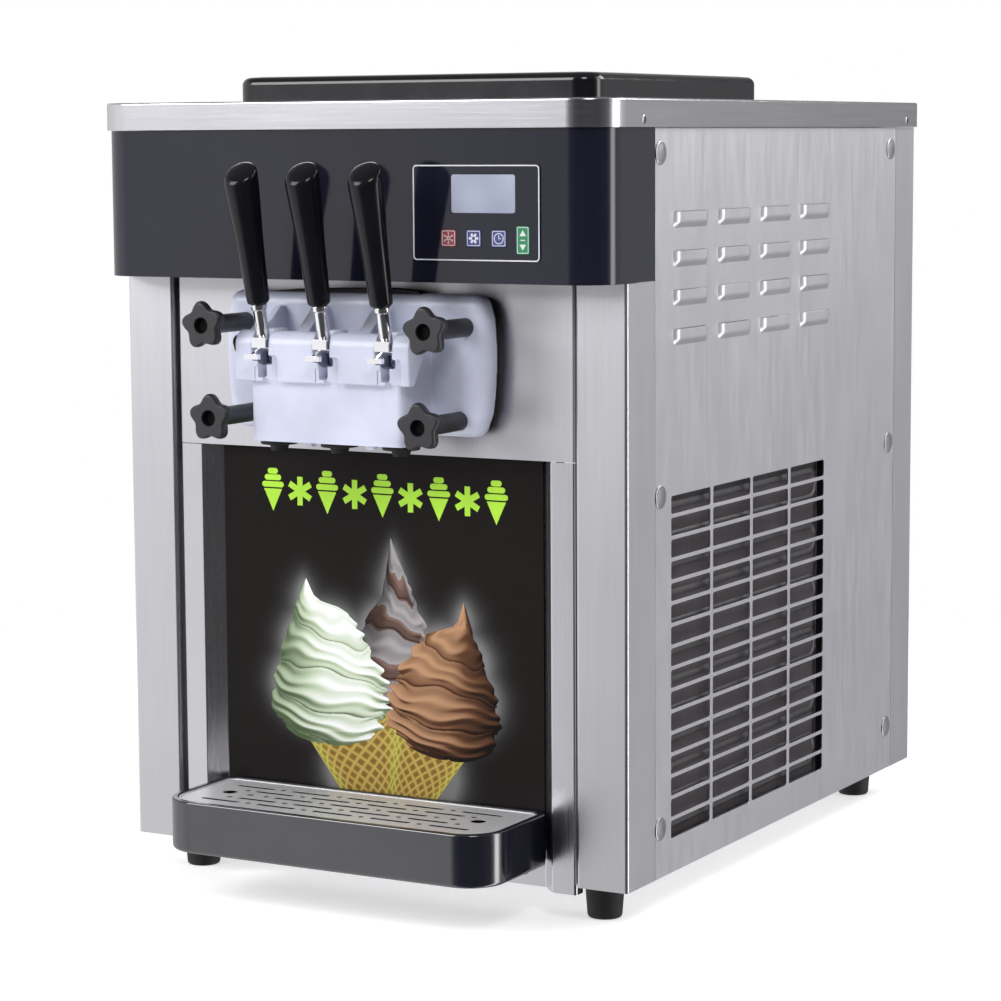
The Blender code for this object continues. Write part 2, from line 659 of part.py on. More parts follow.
def dispensing_head():
    plate_back = back(PANEL_IN) - GAP
    plate_front = back(-PLATE_OUT)
    plate = loft([plate_ring(0, plate_back), plate_ring(0, plate_front + 11 * MM),
                  plate_ring(1.2 * MM, plate_front + 6 * MM), plate_ring(4 * MM, plate_front + 2.2 * MM),
                  plate_ring(8 * MM, plate_front + 0.4 * MM), plate_ring(12 * MM, plate_front)])
    ribs = []
    rib_profile = [(back(-PIVOT_OUT) + 5 * MM, BLOCK_HIGH - 4 * MM), (back(-PIVOT_OUT) + 5 * MM, PIVOT_Z + 10 * MM),
                   (plate_front - 8 * MM, 551 * MM), (plate_front + 4 * MM, 551 * MM),
                   (plate_front + 4 * MM, BLOCK_HIGH - 4 * MM)]
    for centre, half in ((-32.25 * MM, 7 * MM), (32.25 * MM, 7 * MM), (-76 * MM, 3.5 * MM), (76 * MM, 3.5 * MM)):
        ribs.append(prism(rib_profile, "X", centre - half, centre + half))
    tabs = [box(x - 4.5 * MM, x + 4.5 * MM, back(-64 * MM), back(-56 * MM), BLOCK_LOW - 4 * MM, BLOCK_LOW + MM)
            for x in (-24 * MM, 41 * MM)]

    pivot = (0, back(-PIVOT_OUT), PIVOT_Z)
    bores, slots = [], []
    for x in flavour_xs():
        bores.append(rod(PISTON_RADIUS + 0.4 * MM, (x, back(-PISTON_OUT), 0), "Z",
                         BLOCK_LOW - 5 * MM, 580 * MM, 16))
        slots.append(rod(17.8 * MM, (x, pivot[1], PIVOT_Z), "X", -8 * MM, 8 * MM, 20))
    narrow = [box(x - 2.6 * MM, x + 2.6 * MM, back(-90 * MM), back(-PIVOT_OUT + 2 * MM),
                  SLAB_LOW + 3 * MM, PIVOT_Z) for x in flavour_xs()]
    over = [box(x - 8 * MM, x + 8 * MM, back(-90 * MM), back(-PISTON_OUT), PIVOT_Z, 570 * MM)
            for x in flavour_xs()]
    pin_bore = rod(PIN_RADIUS + GAP, pivot, "X", -100 * MM, 100 * MM, 16)
    studs = [rod(5.3 * MM, (x, plate_front, z), "Y", -5 * MM, 40 * MM, 12)
             for x, z in KNOB_PLACES.values()]
    node("dispensing_head", "white", plate,
         joins=[head_block(), barrel(), together(*ribs), together(*tabs)],
         cuts=[together(*bores), together(*slots), together(*narrow), together(*over), pin_bore,
               together(*studs)])


def flavour_xs():
    return (-FLAVOUR_PITCH, 0, FLAVOUR_PITCH)


def pivot_pin():
    left = -BARREL_HALF - 8 * MM
    profile = [(6.5 * MM, left), (8 * MM, left + 1.5 * MM), (8 * MM, left + 7.4 * MM),
               (PIN_RADIUS, left + 7.4 * MM), (PIN_RADIUS, BARREL_HALF)]
    node("pivot_pin", "chrome", turned(profile, (0, back(-PIVOT_OUT), PIVOT_Z), "X", 16))


HANDLE_FOOT = (79 * MM, 556 * MM)
HANDLE_TOP = (107.5 * MM, 680 * MM)
STEM_RADIUS = 6 * MM
ROD_RADIUS = 4.8 * MM  # where it enters the grip
TAIL_RADIUS = 2.8 * MM
GRIP_PROFILE = [  # distance up the handle, radius, slant of the end
    (0, 8.8 * MM, 0), (2 * MM, 10.4 * MM, 0), (42 * MM, 11.8 * MM, 0), (86 * MM, 14.4 * MM, 0.05),
    (108 * MM, 15.8 * MM, 0.25), (115.5 * MM, 15.8 * MM, 0.38), (120 * MM, 14.8 * MM, 0.43),
    (122.8 * MM, 11 * MM, 0.45),
]


def handle_ring(x, distance, radius, slant, steps):
    """A ring round the handle's leaning axis, tipped towards the front where it slants."""
    foot = Vector((x, back(-HANDLE_FOOT[0]), HANDLE_FOOT[1]))
    top = Vector((x, back(-HANDLE_TOP[0]), HANDLE_TOP[1]))
    up = (top - foot).normalized()
    rearward = Vector((0, up.z, -up.y))
    ring = []
    for i in range(steps):
        angle = 2 * math.pi * i / steps
        across, behind = radius * math.cos(angle), radius * math.sin(angle)
        ring.append(foot + up * (distance + slant * behind) + Vector((across, 0, 0)) + rearward * behind)
    return ring


def levers_and_grips():
    names = ("left", "middle", "right")
    for name, x in zip(names, flavour_xs()):
        pivot = (x, back(-PIVOT_OUT), PIVOT_Z)
        hub = rod(6.6 * MM, pivot, "X", -7.4 * MM, 7.4 * MM, 16)
        boss = box(x - 7.4 * MM, x + 7.4 * MM, back(-80.5 * MM), back(-PIVOT_OUT), 516 * MM, 525 * MM)
        stem_foot = Vector((x, back(-75.5 * MM), 519.5 * MM))
        up = Vector((0, -HANDLE_TOP[0] + HANDLE_FOOT[0], HANDLE_TOP[1] - HANDLE_FOOT[1])).normalized()
        start = (stem_foot - Vector((x, back(-HANDLE_FOOT[0]), HANDLE_FOOT[1]))).dot(up)
        stem = loft([handle_ring(x, d, r, 0, 10) for d, r in
                     ((start, STEM_RADIUS), (-5.2 * MM, STEM_RADIUS), (-4.6 * MM, 7.6 * MM), (-0.3 * MM, 7.6 * MM),
                      (-0.3 * MM, ROD_RADIUS), (26 * MM, ROD_RADIUS))])
        arm = prism([(back(-78 * MM), 522 * MM), (back(-80.5 * MM), 516 * MM), (back(-92.5 * MM), 511 * MM),
                     (back(-92.5 * MM), 506.5 * MM), (back(-74 * MM), 512 * MM)], "X", x - 2 * MM, x + 2 * MM)
        stop = box(x - 5.2 * MM, x + 9.5 * MM, back(-96 * MM), back(-91.5 * MM), 506.6 * MM, 511.2 * MM)
        reach = PIVOT_OUT - PISTON_OUT
        tail_z = PIVOT_Z - reach * math.tan(math.radians(HANDLE_OPEN / 2))
        tail = prism([(pivot[1], PIVOT_Z + 3 * MM), (pivot[1], PIVOT_Z - 3.5 * MM)]
                     + arc(back(-PISTON_OUT), tail_z, TAIL_RADIUS, -110, 70, 4), "X", x - 2.2 * MM, x + 2.2 * MM)
        lever = node(f"lever_{name}", "chrome", hub, joins=[boss, stem, arm, stop, tail],
                     cuts=[rod(PIN_RADIUS + 0.4 * MM, pivot, "X", -9 * MM, 9 * MM, 16)], pivot=pivot)
        grip = loft([handle_ring(x, d, r, slant, 14) for d, r, slant in GRIP_PROFILE])
        socket = loft([handle_ring(x, d, ROD_RADIUS + 0.4 * MM, 0, 10) for d in (-5 * MM, 28 * MM)])
        node(f"grip_{name}", "black", grip, cuts=[socket], pivot=pivot, parent=lever)


def pistons_and_nozzles():
    reach = PIVOT_OUT - PISTON_OUT
    notch_z = PIVOT_Z - reach * math.tan(math.radians(HANDLE_OPEN / 2))
    names = ("left", "middle", "right")
    for name, x in zip(names, flavour_xs()):
        axis_y = back(-PISTON_OUT)
        centre = (x, axis_y, 0)
        body = turned([(7.5 * MM, 437 * MM), (PISTON_RADIUS, 439 * MM), (PISTON_RADIUS, 530 * MM),
                       (7.5 * MM, 532 * MM)], centre, "Z", 16)
        mouth, throat = 9 * MM, TAIL_RADIUS + 0.8 * MM
        notch = prism([(axis_y - 12 * MM, notch_z - mouth), (axis_y, notch_z - throat),
                       (axis_y + 5 * MM, notch_z - throat), (axis_y + 5 * MM, notch_z + throat),
                       (axis_y, notch_z + throat), (axis_y - 12 * MM, notch_z + mouth)],
                      "X", x - 2.8 * MM, x + 2.8 * MM)
        node(f"piston_{name}", "white", body, cuts=[notch], pivot=(x, axis_y, notch_z))
        cap = turned([(17 * MM, BLOCK_LOW - GAP), (17 * MM, BLOCK_LOW - 3.6 * MM), (8.6 * MM, BLOCK_LOW - 5 * MM),
                      (7.6 * MM, NOZZLE_LOW), (5 * MM, NOZZLE_LOW), (5.5 * MM, BLOCK_LOW - GAP)],
                     centre, "Z", 16, looped=True)
        node(f"nozzle_{name}", "black", cap)


def lobed_outline(radius, lobes=5, per_lobe=4):
    """A star grip's outline: round lobes with hollows between them."""
    points = []
    for i in range(lobes * per_lobe):
        angle = 2 * math.pi * i / (lobes * per_lobe)
        reach = radius * (0.88 + 0.12 * math.cos(lobes * (angle - math.pi / 2)))
        points.append((reach * math.cos(angle), reach * math.sin(angle)))
    return points


def knobs():
    face = back(-KNOB_OUT)
    for name, (x, z) in KNOB_PLACES.items():
        rings = []
        for y, radius in ((0, 19.6 * MM), (2.5 * MM, KNOB_RADIUS), (8 * MM, KNOB_RADIUS), (10 * MM, 19 * MM)):
            rings.append([(x + u, face + y, z + v) for u, v in lobed_outline(radius)])
        sleeve = turned([(9.5 * MM, 9 * MM), (8.5 * MM, 14 * MM), (8.5 * MM, KNOB_OUT - PLATE_OUT - GAP)],
                        (x, face, z), "Y", 14)
        recess = rod(7.2 * MM, (x, face, z), "Y", -MM, 3 * MM, 12)
        stud = rod(4.6 * MM, (x, face, z), "Y", 60 * MM, KNOB_OUT - PLATE_OUT + 25 * MM, 10)
        node(name, "knob", loft(rings), joins=[sleeve, stud], cuts=[recess], pivot=(x, face, z))


# ---------------------------------------------------------------- hoppers


def lid_ring(inset, z):
    outline = rounded_rectangle(-LID_HALF + inset, LID_HALF - inset, back(LID_FRONT) + inset,
                                back(LID_REAR) - inset, 22 * MM - min(inset, 12 * MM), 4)
    return [(x, y, z) for x, y in outline]


def hopper_lid():
    low_z = RIM_HIGH + 2 * MM
    outside = loft([lid_ring(0, low_z), lid_ring(0.4 * MM, 752 * MM), lid_ring(1.8 * MM, 756.6 * MM),
                    lid_ring(4.5 * MM, 759.4 * MM), lid_ring(9 * MM, 760.5 * MM)])
    inside = loft([lid_ring(3 * MM, low_z - MM), lid_ring(3.5 * MM, 757.5 * MM)])
    node("hopper_lid", "black", outside, cuts=[inside], pivot=(0, back((LID_FRONT + LID_REAR) / 2), low_z))


def hoppers():
    wall = 1.2 * MM
    low_y, high_y = back(HOPPER_FRONT), back(HOPPER_REAR)
    flange_z = RIM_HIGH + GAP
    for name, side in (("left", -1), ("right", 1)):
        low_x, high_x = side * HOPPER_X - HOPPER_HALF, side * HOPPER_X + HOPPER_HALF

        def outline(grow, radius):
            return rounded_rectangle(low_x - grow, high_x + grow, low_y - grow, high_y + grow, radius)

        feed = (side * FLAVOUR_PITCH, back(130 * MM), 0)
        tube_low = CYLINDER_Z + CYLINDER_RADIUS + GAP
        node(f"hopper_{name}", "steel", prism(outline(0, 20 * MM), "Z", HOPPER_LOW, flange_z + 0.6 * MM),
             joins=[prism(outline(3.7 * MM, 23 * MM), "Z", flange_z, flange_z + wall),
                    rod(8 * MM, feed, "Z", tube_low, HOPPER_LOW + 0.6 * MM, 16)],
             cuts=[prism(outline(-wall, 18.8 * MM), "Z", HOPPER_LOW + wall, flange_z + 5 * MM),
                   rod(6.5 * MM, feed, "Z", tube_low - MM, HOPPER_LOW + 5 * MM, 16)])


# ---------------------------------------------------------------- freezing and drive


def cylinders():
    """Insulated barrels, open at the front, with a shaft hole behind and a feed hole on top."""
    front, length = back(PANEL_IN), CYLINDER_LENGTH
    for name, side in (("left", -1), ("right", 1)):
        centre = (side * FLAVOUR_PITCH, front, CYLINDER_Z)
        profile = [(CYLINDER_RADIUS, 0), (CYLINDER_RADIUS, length), (SHAFT_RADIUS + 0.4 * MM, length),
                   (SHAFT_RADIUS + 0.4 * MM, length - 12 * MM), (CYLINDER_BORE, length - 12 * MM),
                   (CYLINDER_BORE, 0)]
        feed = rod(6.5 * MM, (side * FLAVOUR_PITCH, back(130 * MM), CYLINDER_Z), "Z", 30 * MM, 70 * MM, 12)
        node(f"freezing_cylinder_{name}", "insulation", turned(profile, centre, "Y", 24, looped=True),
             cuts=[feed])


def beaters():
    """A shaft with a twisted two-bladed scraper, which runs inside each cylinder."""
    twist, steps = 1.5 * math.pi, 10
    front, length = back(14 * MM), 285 * MM
    for name, side in (("left", -1), ("right", 1)):
        x = side * FLAVOUR_PITCH
        rings = []
        for step in range(steps + 1):
            angle = side * twist * step / steps
            across = Vector((math.cos(angle), 0, math.sin(angle)))
            up = Vector((-math.sin(angle), 0, math.cos(angle)))
            centre = Vector((x, front + length * step / steps, CYLINDER_Z))
            half, thick = CYLINDER_BORE - 3 * MM, 4 * MM
            rings.append([centre + across * u + up * v for u, v in
                          ((-half, -thick), (half, -thick), (half, thick), (-half, thick))])
        scraper = loft(rings)
        bmesh.ops.triangulate(scraper, faces=scraper.faces)
        shaft = rod(SHAFT_RADIUS, (x, front, CYLINDER_Z), "Y", length - 6 * MM, 350 * MM, 16)
        node(f"beater_{name}", "steel", scraper, joins=[shaft], pivot=(x, front, CYLINDER_Z))


def gearbox():
    """One casing with an input shaft behind and two output sockets in front."""
    front = back(PANEL_IN + CYLINDER_LENGTH + 6 * MM)
    rear = front + 82 * MM
    outline = rounded_rectangle(-104 * MM, 104 * MM, CYLINDER_Z - 45 * MM, CYLINDER_Z + 45 * MM, 26 * MM, 3)
    stub = rod(10 * MM, (0, rear, CYLINDER_Z), "Y", -4 * MM, 45 * MM, 16)
    sockets = [rod(SHAFT_RADIUS + 0.4 * MM, (side * FLAVOUR_PITCH, front, CYLINDER_Z), "Y",
                   -5 * MM, 32 * MM, 16) for side in (-1, 1)]
    node("gearbox", "alloy", prism(outline, "Y", front, rear), joins=[stub], cuts=[together(*sockets)])


def pulley(name, radius, z, bore):
    centre = (0, back(PULLEY_DEPTH), z)
    side, lip = 8 * MM, 4 * MM
    profile = [(radius + lip, -side), (radius + lip, -side + 2 * MM), (radius, -5.4 * MM),
               (radius, 5.4 * MM), (radius + lip, side - 2 * MM), (radius + lip, side), (bore, side), (bore, -side)]
    node(name, "alloy", turned(profile, centre, "Y", 24, looped=True), pivot=centre)


def belt_outline(thickness):
    """The belt's run round both pulleys, which hang one above the other."""
    distance = CYLINDER_Z - MOTOR_Z
    lean = math.degrees(math.asin((GEARBOX_PULLEY - MOTOR_PULLEY) / distance))
    clear = 0.8 * MM + thickness
    top = arc(0, CYLINDER_Z, GEARBOX_PULLEY + clear, -lean, 180 + lean, 14)
    return top + arc(0, MOTOR_Z, MOTOR_PULLEY + clear, 180 + lean, 360 - lean, 8)


def drive():
    motor_front, motor_rear = back(250 * MM), back(432 * MM)
    profile = [(50 * MM, 0), (62 * MM, 10 * MM), (62 * MM, 170 * MM), (46 * MM, 182 * MM)]
    body = turned(profile, (0, motor_front, MOTOR_Z), "Y", 20)
    shaft = rod(8 * MM, (0, motor_rear, MOTOR_Z), "Y", -4 * MM, 34 * MM, 16)
    pedestal = box(-44 * MM, 44 * MM, motor_front + 40 * MM, motor_front + 140 * MM,
                   BODY_LOW + SHEET + GAP, MOTOR_Z - 45 * MM)
    node("drive_motor", "paint", body, joins=[shaft, pedestal])
    pulley("motor_pulley", MOTOR_PULLEY, MOTOR_Z, 8.5 * MM)
    pulley("gearbox_pulley", GEARBOX_PULLEY, CYLINDER_Z, 10.5 * MM)
    belt_y = back(PULLEY_DEPTH)
    node("drive_belt", "rubber", prism(belt_outline(5 * MM), "Y", belt_y - 5 * MM, belt_y + 5 * MM),
         cuts=[prism(belt_outline(0), "Y", belt_y - 8 * MM, belt_y + 8 * MM)])


def refrigeration():
    floor = BODY_LOW + SHEET + GAP
    centre = (-150 * MM, back(180 * MM), 0)
    shell = turned([(60 * MM, floor), (74 * MM, floor + 10 * MM), (78 * MM, floor + 30 * MM), (78 * MM, 190 * MM),
                    (70 * MM, 210 * MM), (48 * MM, 226 * MM), (20 * MM, 231 * MM)], centre, "Z", 20)
    bracket = box(-232 * MM, -68 * MM, back(120 * MM), back(240 * MM), floor, floor + 5 * MM)
    outlet = rod(5 * MM, (-110 * MM, back(160 * MM), 0), "Z", 190 * MM, 250 * MM, 10)
    node("compressor", "paint", shell, joins=[bracket, outlet])

    node("condenser", "alloy", box(222 * MM, 258 * MM, back(90 * MM), back(436 * MM), 63 * MM, 384 * MM),
         smooth=False)

    axis = (0, back(FAN_DEPTH), FAN_Z)
    motor = turned([(30 * MM, 108 * MM), (38 * MM, 114 * MM), (38 * MM, 160 * MM), (26 * MM, 168 * MM)],
                   axis, "X", 20)
    spindle = rod(4 * MM, axis, "X", 160 * MM, 192 * MM, 10)
    bracket = box(122 * MM, 150 * MM, back(FAN_DEPTH - 14 * MM), back(FAN_DEPTH + 14 * MM), floor, FAN_Z)
    node("fan_motor", "paint", motor, joins=[spindle, bracket])
    fan(axis)


def fan(axis):
    """Five pitched blades on a hub."""
    hub = turned([(22 * MM, 176 * MM), (24 * MM, 179 * MM), (24 * MM, 200 * MM), (4.5 * MM, 200 * MM),
                  (4.5 * MM, 176 * MM)], axis, "X", 20, looped=True)
    blades = []
    for number in range(5):
        turn = Matrix.Rotation(2 * math.pi * number / 5, 4, "X")
        rings = []
        for radius, half, pitch in ((20, 18, 32), (60, 30, 26), (108, 34, 20)):
            lean = math.radians(pitch)
            ring = []
            for u, v in ((-half, -0.9), (half, -0.9), (half, 0.9), (-half, 0.9)):
                across = u * math.cos(lean) - v * math.sin(lean)
                along = u * math.sin(lean) + v * math.cos(lean)
                ring.append(Vector(axis) + turn @ Vector((188 + along, across, radius)) * MM)
            rings.append(ring)
        blades.append(loft(rings))
    node("condenser_fan", "black", hub, joins=blades, pivot=(188 * MM, axis[1], axis[2]))


def main():
    clear_scene()
    base_pan()
    feet()
    posts()
    side_panel("side_panel_right", 1)
    side_panel("side_panel_left", -1)
    rear_panel()
    power_inlet()
    top_cover()
    front_fascia()
    control_panel()
    front_panels()
    drip_tray()
    drip_grid()
    dispensing_head()
    pivot_pin()
    levers_and_grips()
    pistons_and_nozzles()
    knobs()
    hopper_lid()
    hoppers()
    cylinders()
    beaters()
    gearbox()
    drive()
    refrigeration()


main()
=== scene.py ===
"""The looks of the countertop soft serve machine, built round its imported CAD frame.

Metres, +Z up, the front faces -Y. The main places come from the CAD nodes' boxes. Depths are
stated from the front face of the posts, through back().
"""

import math

import bmesh
import bpy
from mathutils import Matrix, Vector


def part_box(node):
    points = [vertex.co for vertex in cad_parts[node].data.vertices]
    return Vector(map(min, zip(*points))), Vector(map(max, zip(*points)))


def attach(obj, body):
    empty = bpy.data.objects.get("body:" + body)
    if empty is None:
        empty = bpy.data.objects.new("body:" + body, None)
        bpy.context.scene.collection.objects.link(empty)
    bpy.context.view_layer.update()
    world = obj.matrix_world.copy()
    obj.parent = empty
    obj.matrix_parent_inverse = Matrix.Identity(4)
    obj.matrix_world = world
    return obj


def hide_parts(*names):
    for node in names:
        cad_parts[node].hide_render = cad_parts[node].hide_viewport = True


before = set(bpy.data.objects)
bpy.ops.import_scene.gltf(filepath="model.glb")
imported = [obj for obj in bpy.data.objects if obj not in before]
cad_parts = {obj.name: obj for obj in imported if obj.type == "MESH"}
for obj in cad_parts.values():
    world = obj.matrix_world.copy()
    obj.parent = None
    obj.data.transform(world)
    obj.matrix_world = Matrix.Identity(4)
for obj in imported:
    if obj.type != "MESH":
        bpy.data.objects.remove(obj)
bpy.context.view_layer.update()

MM = 0.001
GAP = 0.3 * MM
SHEET = 1.5 * MM


def low(node):
    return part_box(node)[0]


def high(node):
    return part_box(node)[1]


HALF_WIDTH = high("front_post_right").x
FRONT_Y = low("front_post_right").y
BODY_LOW = low("side_panel_right").z
BODY_HIGH = high("side_panel_right").z
RIM_LOW = low("top_cover").z
RIM_HIGH = high("top_cover").z
FASCIA_LOW = low("front_fascia").z
FASCIA_CORNER = 35 * MM
TRAY_LOW = 48.5 * MM
TRAY_HIGH = high("drip_tray").z
FLAVOUR_PITCH = 64.5 * MM
PIVOT_OUT = 65 * MM
PIVOT_Z = 518 * MM
PISTON_OUT = 48 * MM
PLATE_OUT = 22 * MM
BLOCK_LOW = 431 * MM


def back(depth):
    """The Y of a plane this far behind the front face of the posts."""
    return FRONT_Y + depth


def centre_of(node):
    return [(a + b) / 2 for a, b in zip(*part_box(node))]


def mm(pairs, start=0):
    """Pairs of millimetres in metres, the second number counted from start."""
    return [(a * MM, start + b * MM) for a, b in pairs]


# ---------------------------------------------------------------- shapes


def arc(centre_u, centre_v, radius, start, end, steps):
    """Points of an arc in a plane, angles in degrees, both ends included."""
    points = []
    for i in range(steps + 1):
        angle = math.radians(start + (end - start) * i / steps)
        points.append((centre_u + radius * math.cos(angle), centre_v + radius * math.sin(angle)))
    return points


def rounded_rectangle(low_u, high_u, low_v, high_v, radius, steps=5):
    points = arc(high_u - radius, low_v + radius, radius, -90, 0, steps)
    points += arc(high_u - radius, high_v - radius, radius, 0, 90, steps)
    points += arc(low_u + radius, high_v - radius, radius, 90, 180, steps)
    return points + arc(low_u + radius, low_v + radius, radius, 180, 270, steps)


def quarter(steps):
    """Angles from nought to a right angle."""
    return [math.pi / 2 * i / steps for i in range(steps + 1)]


def rounding(radius, steps=5):
    """(inset, drop) pairs that turn a wall into a top face over a round edge."""
    return [(radius * (1 - math.cos(a)), radius * (1 - math.sin(a))) for a in quarter(steps)]


def place(u, v, along, axis):
    """A point of a plane across an axis, at a distance along that axis."""
    if axis == "X":
        return Vector((along, u, v))
    if axis == "Y":
        return Vector((u, along, v))
    return Vector((u, v, along))


def quad(mesh, first, second, i, k):
    """A face between two rows of vertices, from column i to column k."""
    mesh.faces.new((first[i], first[k], second[k], second[i]))


def outward(mesh):
    if mesh.calc_volume(signed=True) < 0:
        bmesh.ops.reverse_faces(mesh, faces=mesh.faces)
    return mesh


def loft(rings, looped=False):
    """A skin over rings of equal length, with flat ends, or joined end to end when looped."""
    mesh = bmesh.new()
    rows = [[mesh.verts.new(point) for point in ring] for ring in rings]
    count = len(rings[0])
    pairs = list(zip(rows, rows[1:]))
    if looped:
        pairs.append((rows[-1], rows[0]))
    for below, above in pairs:
        for i in range(count):
            quad(mesh, below, above, i, (i + 1) % count)
    if not looped:
        mesh.faces.new(reversed(rows[0]))
        mesh.faces.new(rows[-1])
    return outward(mesh)


def prism(outline, axis, start, end):
    return loft([[place(u, v, along, axis) for u, v in outline] for along in (start, end)])


def face_outline(node, inset, radius, steps=5):
    """A node's front face with round corners, drawn in all round by the inset."""
    corner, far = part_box(node)
    return rounded_rectangle(corner.x + inset, far.x - inset, corner.z + inset, far.z - inset,
                             radius - inset, steps)


def pillow(node, radius, edge, steps=5):
    """A node's box with round corners and a round edge to its front face."""
    sections = [(inset, low(node).y + drop) for inset, drop in reversed(rounding(edge, 4))]
    sections.append((0, high(node).y))
    return loft([[(x, y, z) for x, z in face_outline(node, inset, radius, steps)] for inset, y in sections])


def face_frame(node, inset, radius, width, start_y, end_y):
    """A flat frame inside a node's front face."""
    corner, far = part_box(node)
    rings = []
    for step, y in ((0, start_y), (0, end_y), (width, end_y), (width, start_y)):
        outline = rounded_rectangle(corner.x + inset + step, far.x - inset - step,
                                    corner.z + inset + step, far.z - inset - step, radius - step, 6)
        rings.append([(x, y, z) for x, z in outline])
    return loft(rings, looped=True)


def box(low_x, high_x, low_y, high_y, low_z, high_z):
    outline = [(low_x, low_y), (high_x, low_y), (high_x, high_y), (low_x, high_y)]
    return prism(outline, "Z", low_z, high_z)


def turned(profile, centre, axis, steps=40, looped=False):
    """A turned solid. The profile is a list of (radius, distance along the axis from centre)."""
    rings = []
    for radius, along in profile:
        ring = []
        for i in range(steps):
            angle = 2 * math.pi * i / steps
            u, v = radius * math.cos(angle), radius * math.sin(angle)
            ring.append(Vector(centre) + place(u, v, along, axis))
        rings.append(ring)
    return loft(rings, looped)


def rod(radius, centre, axis, start, end, steps=32):
    return turned([(radius, start), (radius, end)], centre, axis, steps)


def together(*meshes):
    """Several separate shapes in one mesh."""
    first = meshes[0]
    for other in meshes[1:]:
        data = bpy.data.meshes.new("together")
        other.to_mesh(data)
        other.free()
        first.from_mesh(data)
        bpy.data.meshes.remove(data)
    return first


def rounded_path(points, radius, steps=6):
    """A path in a plane whose inner corners are arcs."""
    path = [Vector(points[0])]
    for before, corner, after in zip(points, points[1:], points[2:]):
        corner = Vector(corner)
        arriving = (Vector(before) - corner).normalized()
        leaving = (Vector(after) - corner).normalized()
        half = arriving.angle(leaving) / 2
        centre = corner + (arriving + leaving).normalized() * radius / math.sin(half)
        start = corner + arriving * radius / math.tan(half) - centre
        end = corner + leaving * radius / math.tan(half) - centre
        for i in range(steps + 1):
            path.append(centre + start.normalized().slerp(end.normalized(), i / steps) * radius)
    path.append(Vector(points[-1]))
    return path


def bent_sheet(path, thickness):
    """The outline of a bent sheet: the path, and the path again one thickness to its left."""
    inner = []
    for i, point in enumerate(path):
        before = path[max(i - 1, 0)]
        after = path[min(i + 1, len(path) - 1)]
        into = (point - before).normalized() if i else (after - point).normalized()
        out = (after - point).normalized() if i < len(path) - 1 else into
        left_in = Vector((-into.y, into.x))
        left_out = Vector((-out.y, out.x))
        middle = (left_in + left_out).normalized()
        inner.append(point + middle * thickness / middle.dot(left_in))
    return [tuple(p) for p in path] + [tuple(p) for p in reversed(inner)]


def mirrored_x(points):
    return [(-x, y) for x, y in reversed(points)]


def ease(t):
    t = min(max(t, 0), 1)
    return t * t * (3 - 2 * t)


# ---------------------------------------------------------------- pieces


def make_object(name, mesh):
    data = bpy.data.meshes.new(name)
    mesh.to_mesh(data)
    mesh.free()
    obj = bpy.data.objects.new(name, data)
    bpy.context.scene.collection.objects.link(obj)
    return obj


def apply_modifiers(obj):
    graph = bpy.context.evaluated_depsgraph_get()
    result = bpy.data.meshes.new_from_object(obj.evaluated_get(graph))
    obj.modifiers.clear()
    previous = obj.data
    obj.data = result
    bpy.data.meshes.remove(previous)


def apply_boolean(obj, mesh, operation):
    tool = make_object("tool", mesh)
    modifier = obj.modifiers.new("boolean", "BOOLEAN")
    modifier.object = tool
    modifier.operation = operation
    modifier.solver = "EXACT"
    apply_modifiers(obj)
    used = tool.data
    bpy.data.objects.remove(tool, do_unlink=True)
    bpy.data.meshes.remove(used)


SHARPEST_LEFT = math.radians(40)


def round_edges(obj, width, segments=2):
    modifier = obj.modifiers.new("edges", "BEVEL")
    modifier.width = width
    modifier.segments = segments
    modifier.limit_method = "ANGLE"
    modifier.angle_limit = SHARPEST_LEFT
    apply_modifiers(obj)


def melt(obj, voxel, passes, keep):
    """Fuses the shapes into one moulding with soft inner and outer corners."""
    remesh = obj.modifiers.new("remesh", "REMESH")
    remesh.mode = "VOXEL"
    remesh.voxel_size = voxel
    smooth = obj.modifiers.new("smooth", "SMOOTH")
    smooth.factor = 0.5
    smooth.iterations = passes
    decimate = obj.modifiers.new("decimate", "DECIMATE")
    decimate.ratio = keep
    apply_modifiers(obj)


def shade(obj, angle):
    obj.data.shade_smooth()
    obj.data.set_sharp_from_angle(angle=math.radians(angle))
    weighted = obj.modifiers.new("weighted", "WEIGHTED_NORMAL")
    weighted.keep_sharp = True
    apply_modifiers(obj)


def piece(name, look, shape, body="machine", joins=(), cuts=(), stands_for=(), edge=0, angle=38):
    """One visible piece. stands_for are the CAD nodes that it is shown in place of."""
    obj = shape if isinstance(shape, bpy.types.Object) else make_object(name, shape)
    for mesh in joins:
        apply_boolean(obj, mesh, "UNION")
    for mesh in cuts:
        apply_boolean(obj, mesh, "DIFFERENCE")
    if edge:
        round_edges(obj, edge)
    shade(obj, angle)
    obj.data.name = name
    obj.data.materials.clear()
    obj.data.materials.append(material(look))
    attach(obj, body)
    if stands_for:
        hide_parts(*stands_for)
    return obj


def finish_node(name, look):
    """Gives a CAD node that stays in view a worked finish."""
    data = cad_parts[name].data
    data.materials.clear()
    data.materials.append(material(look))


# ---------------------------------------------------------------- finishes


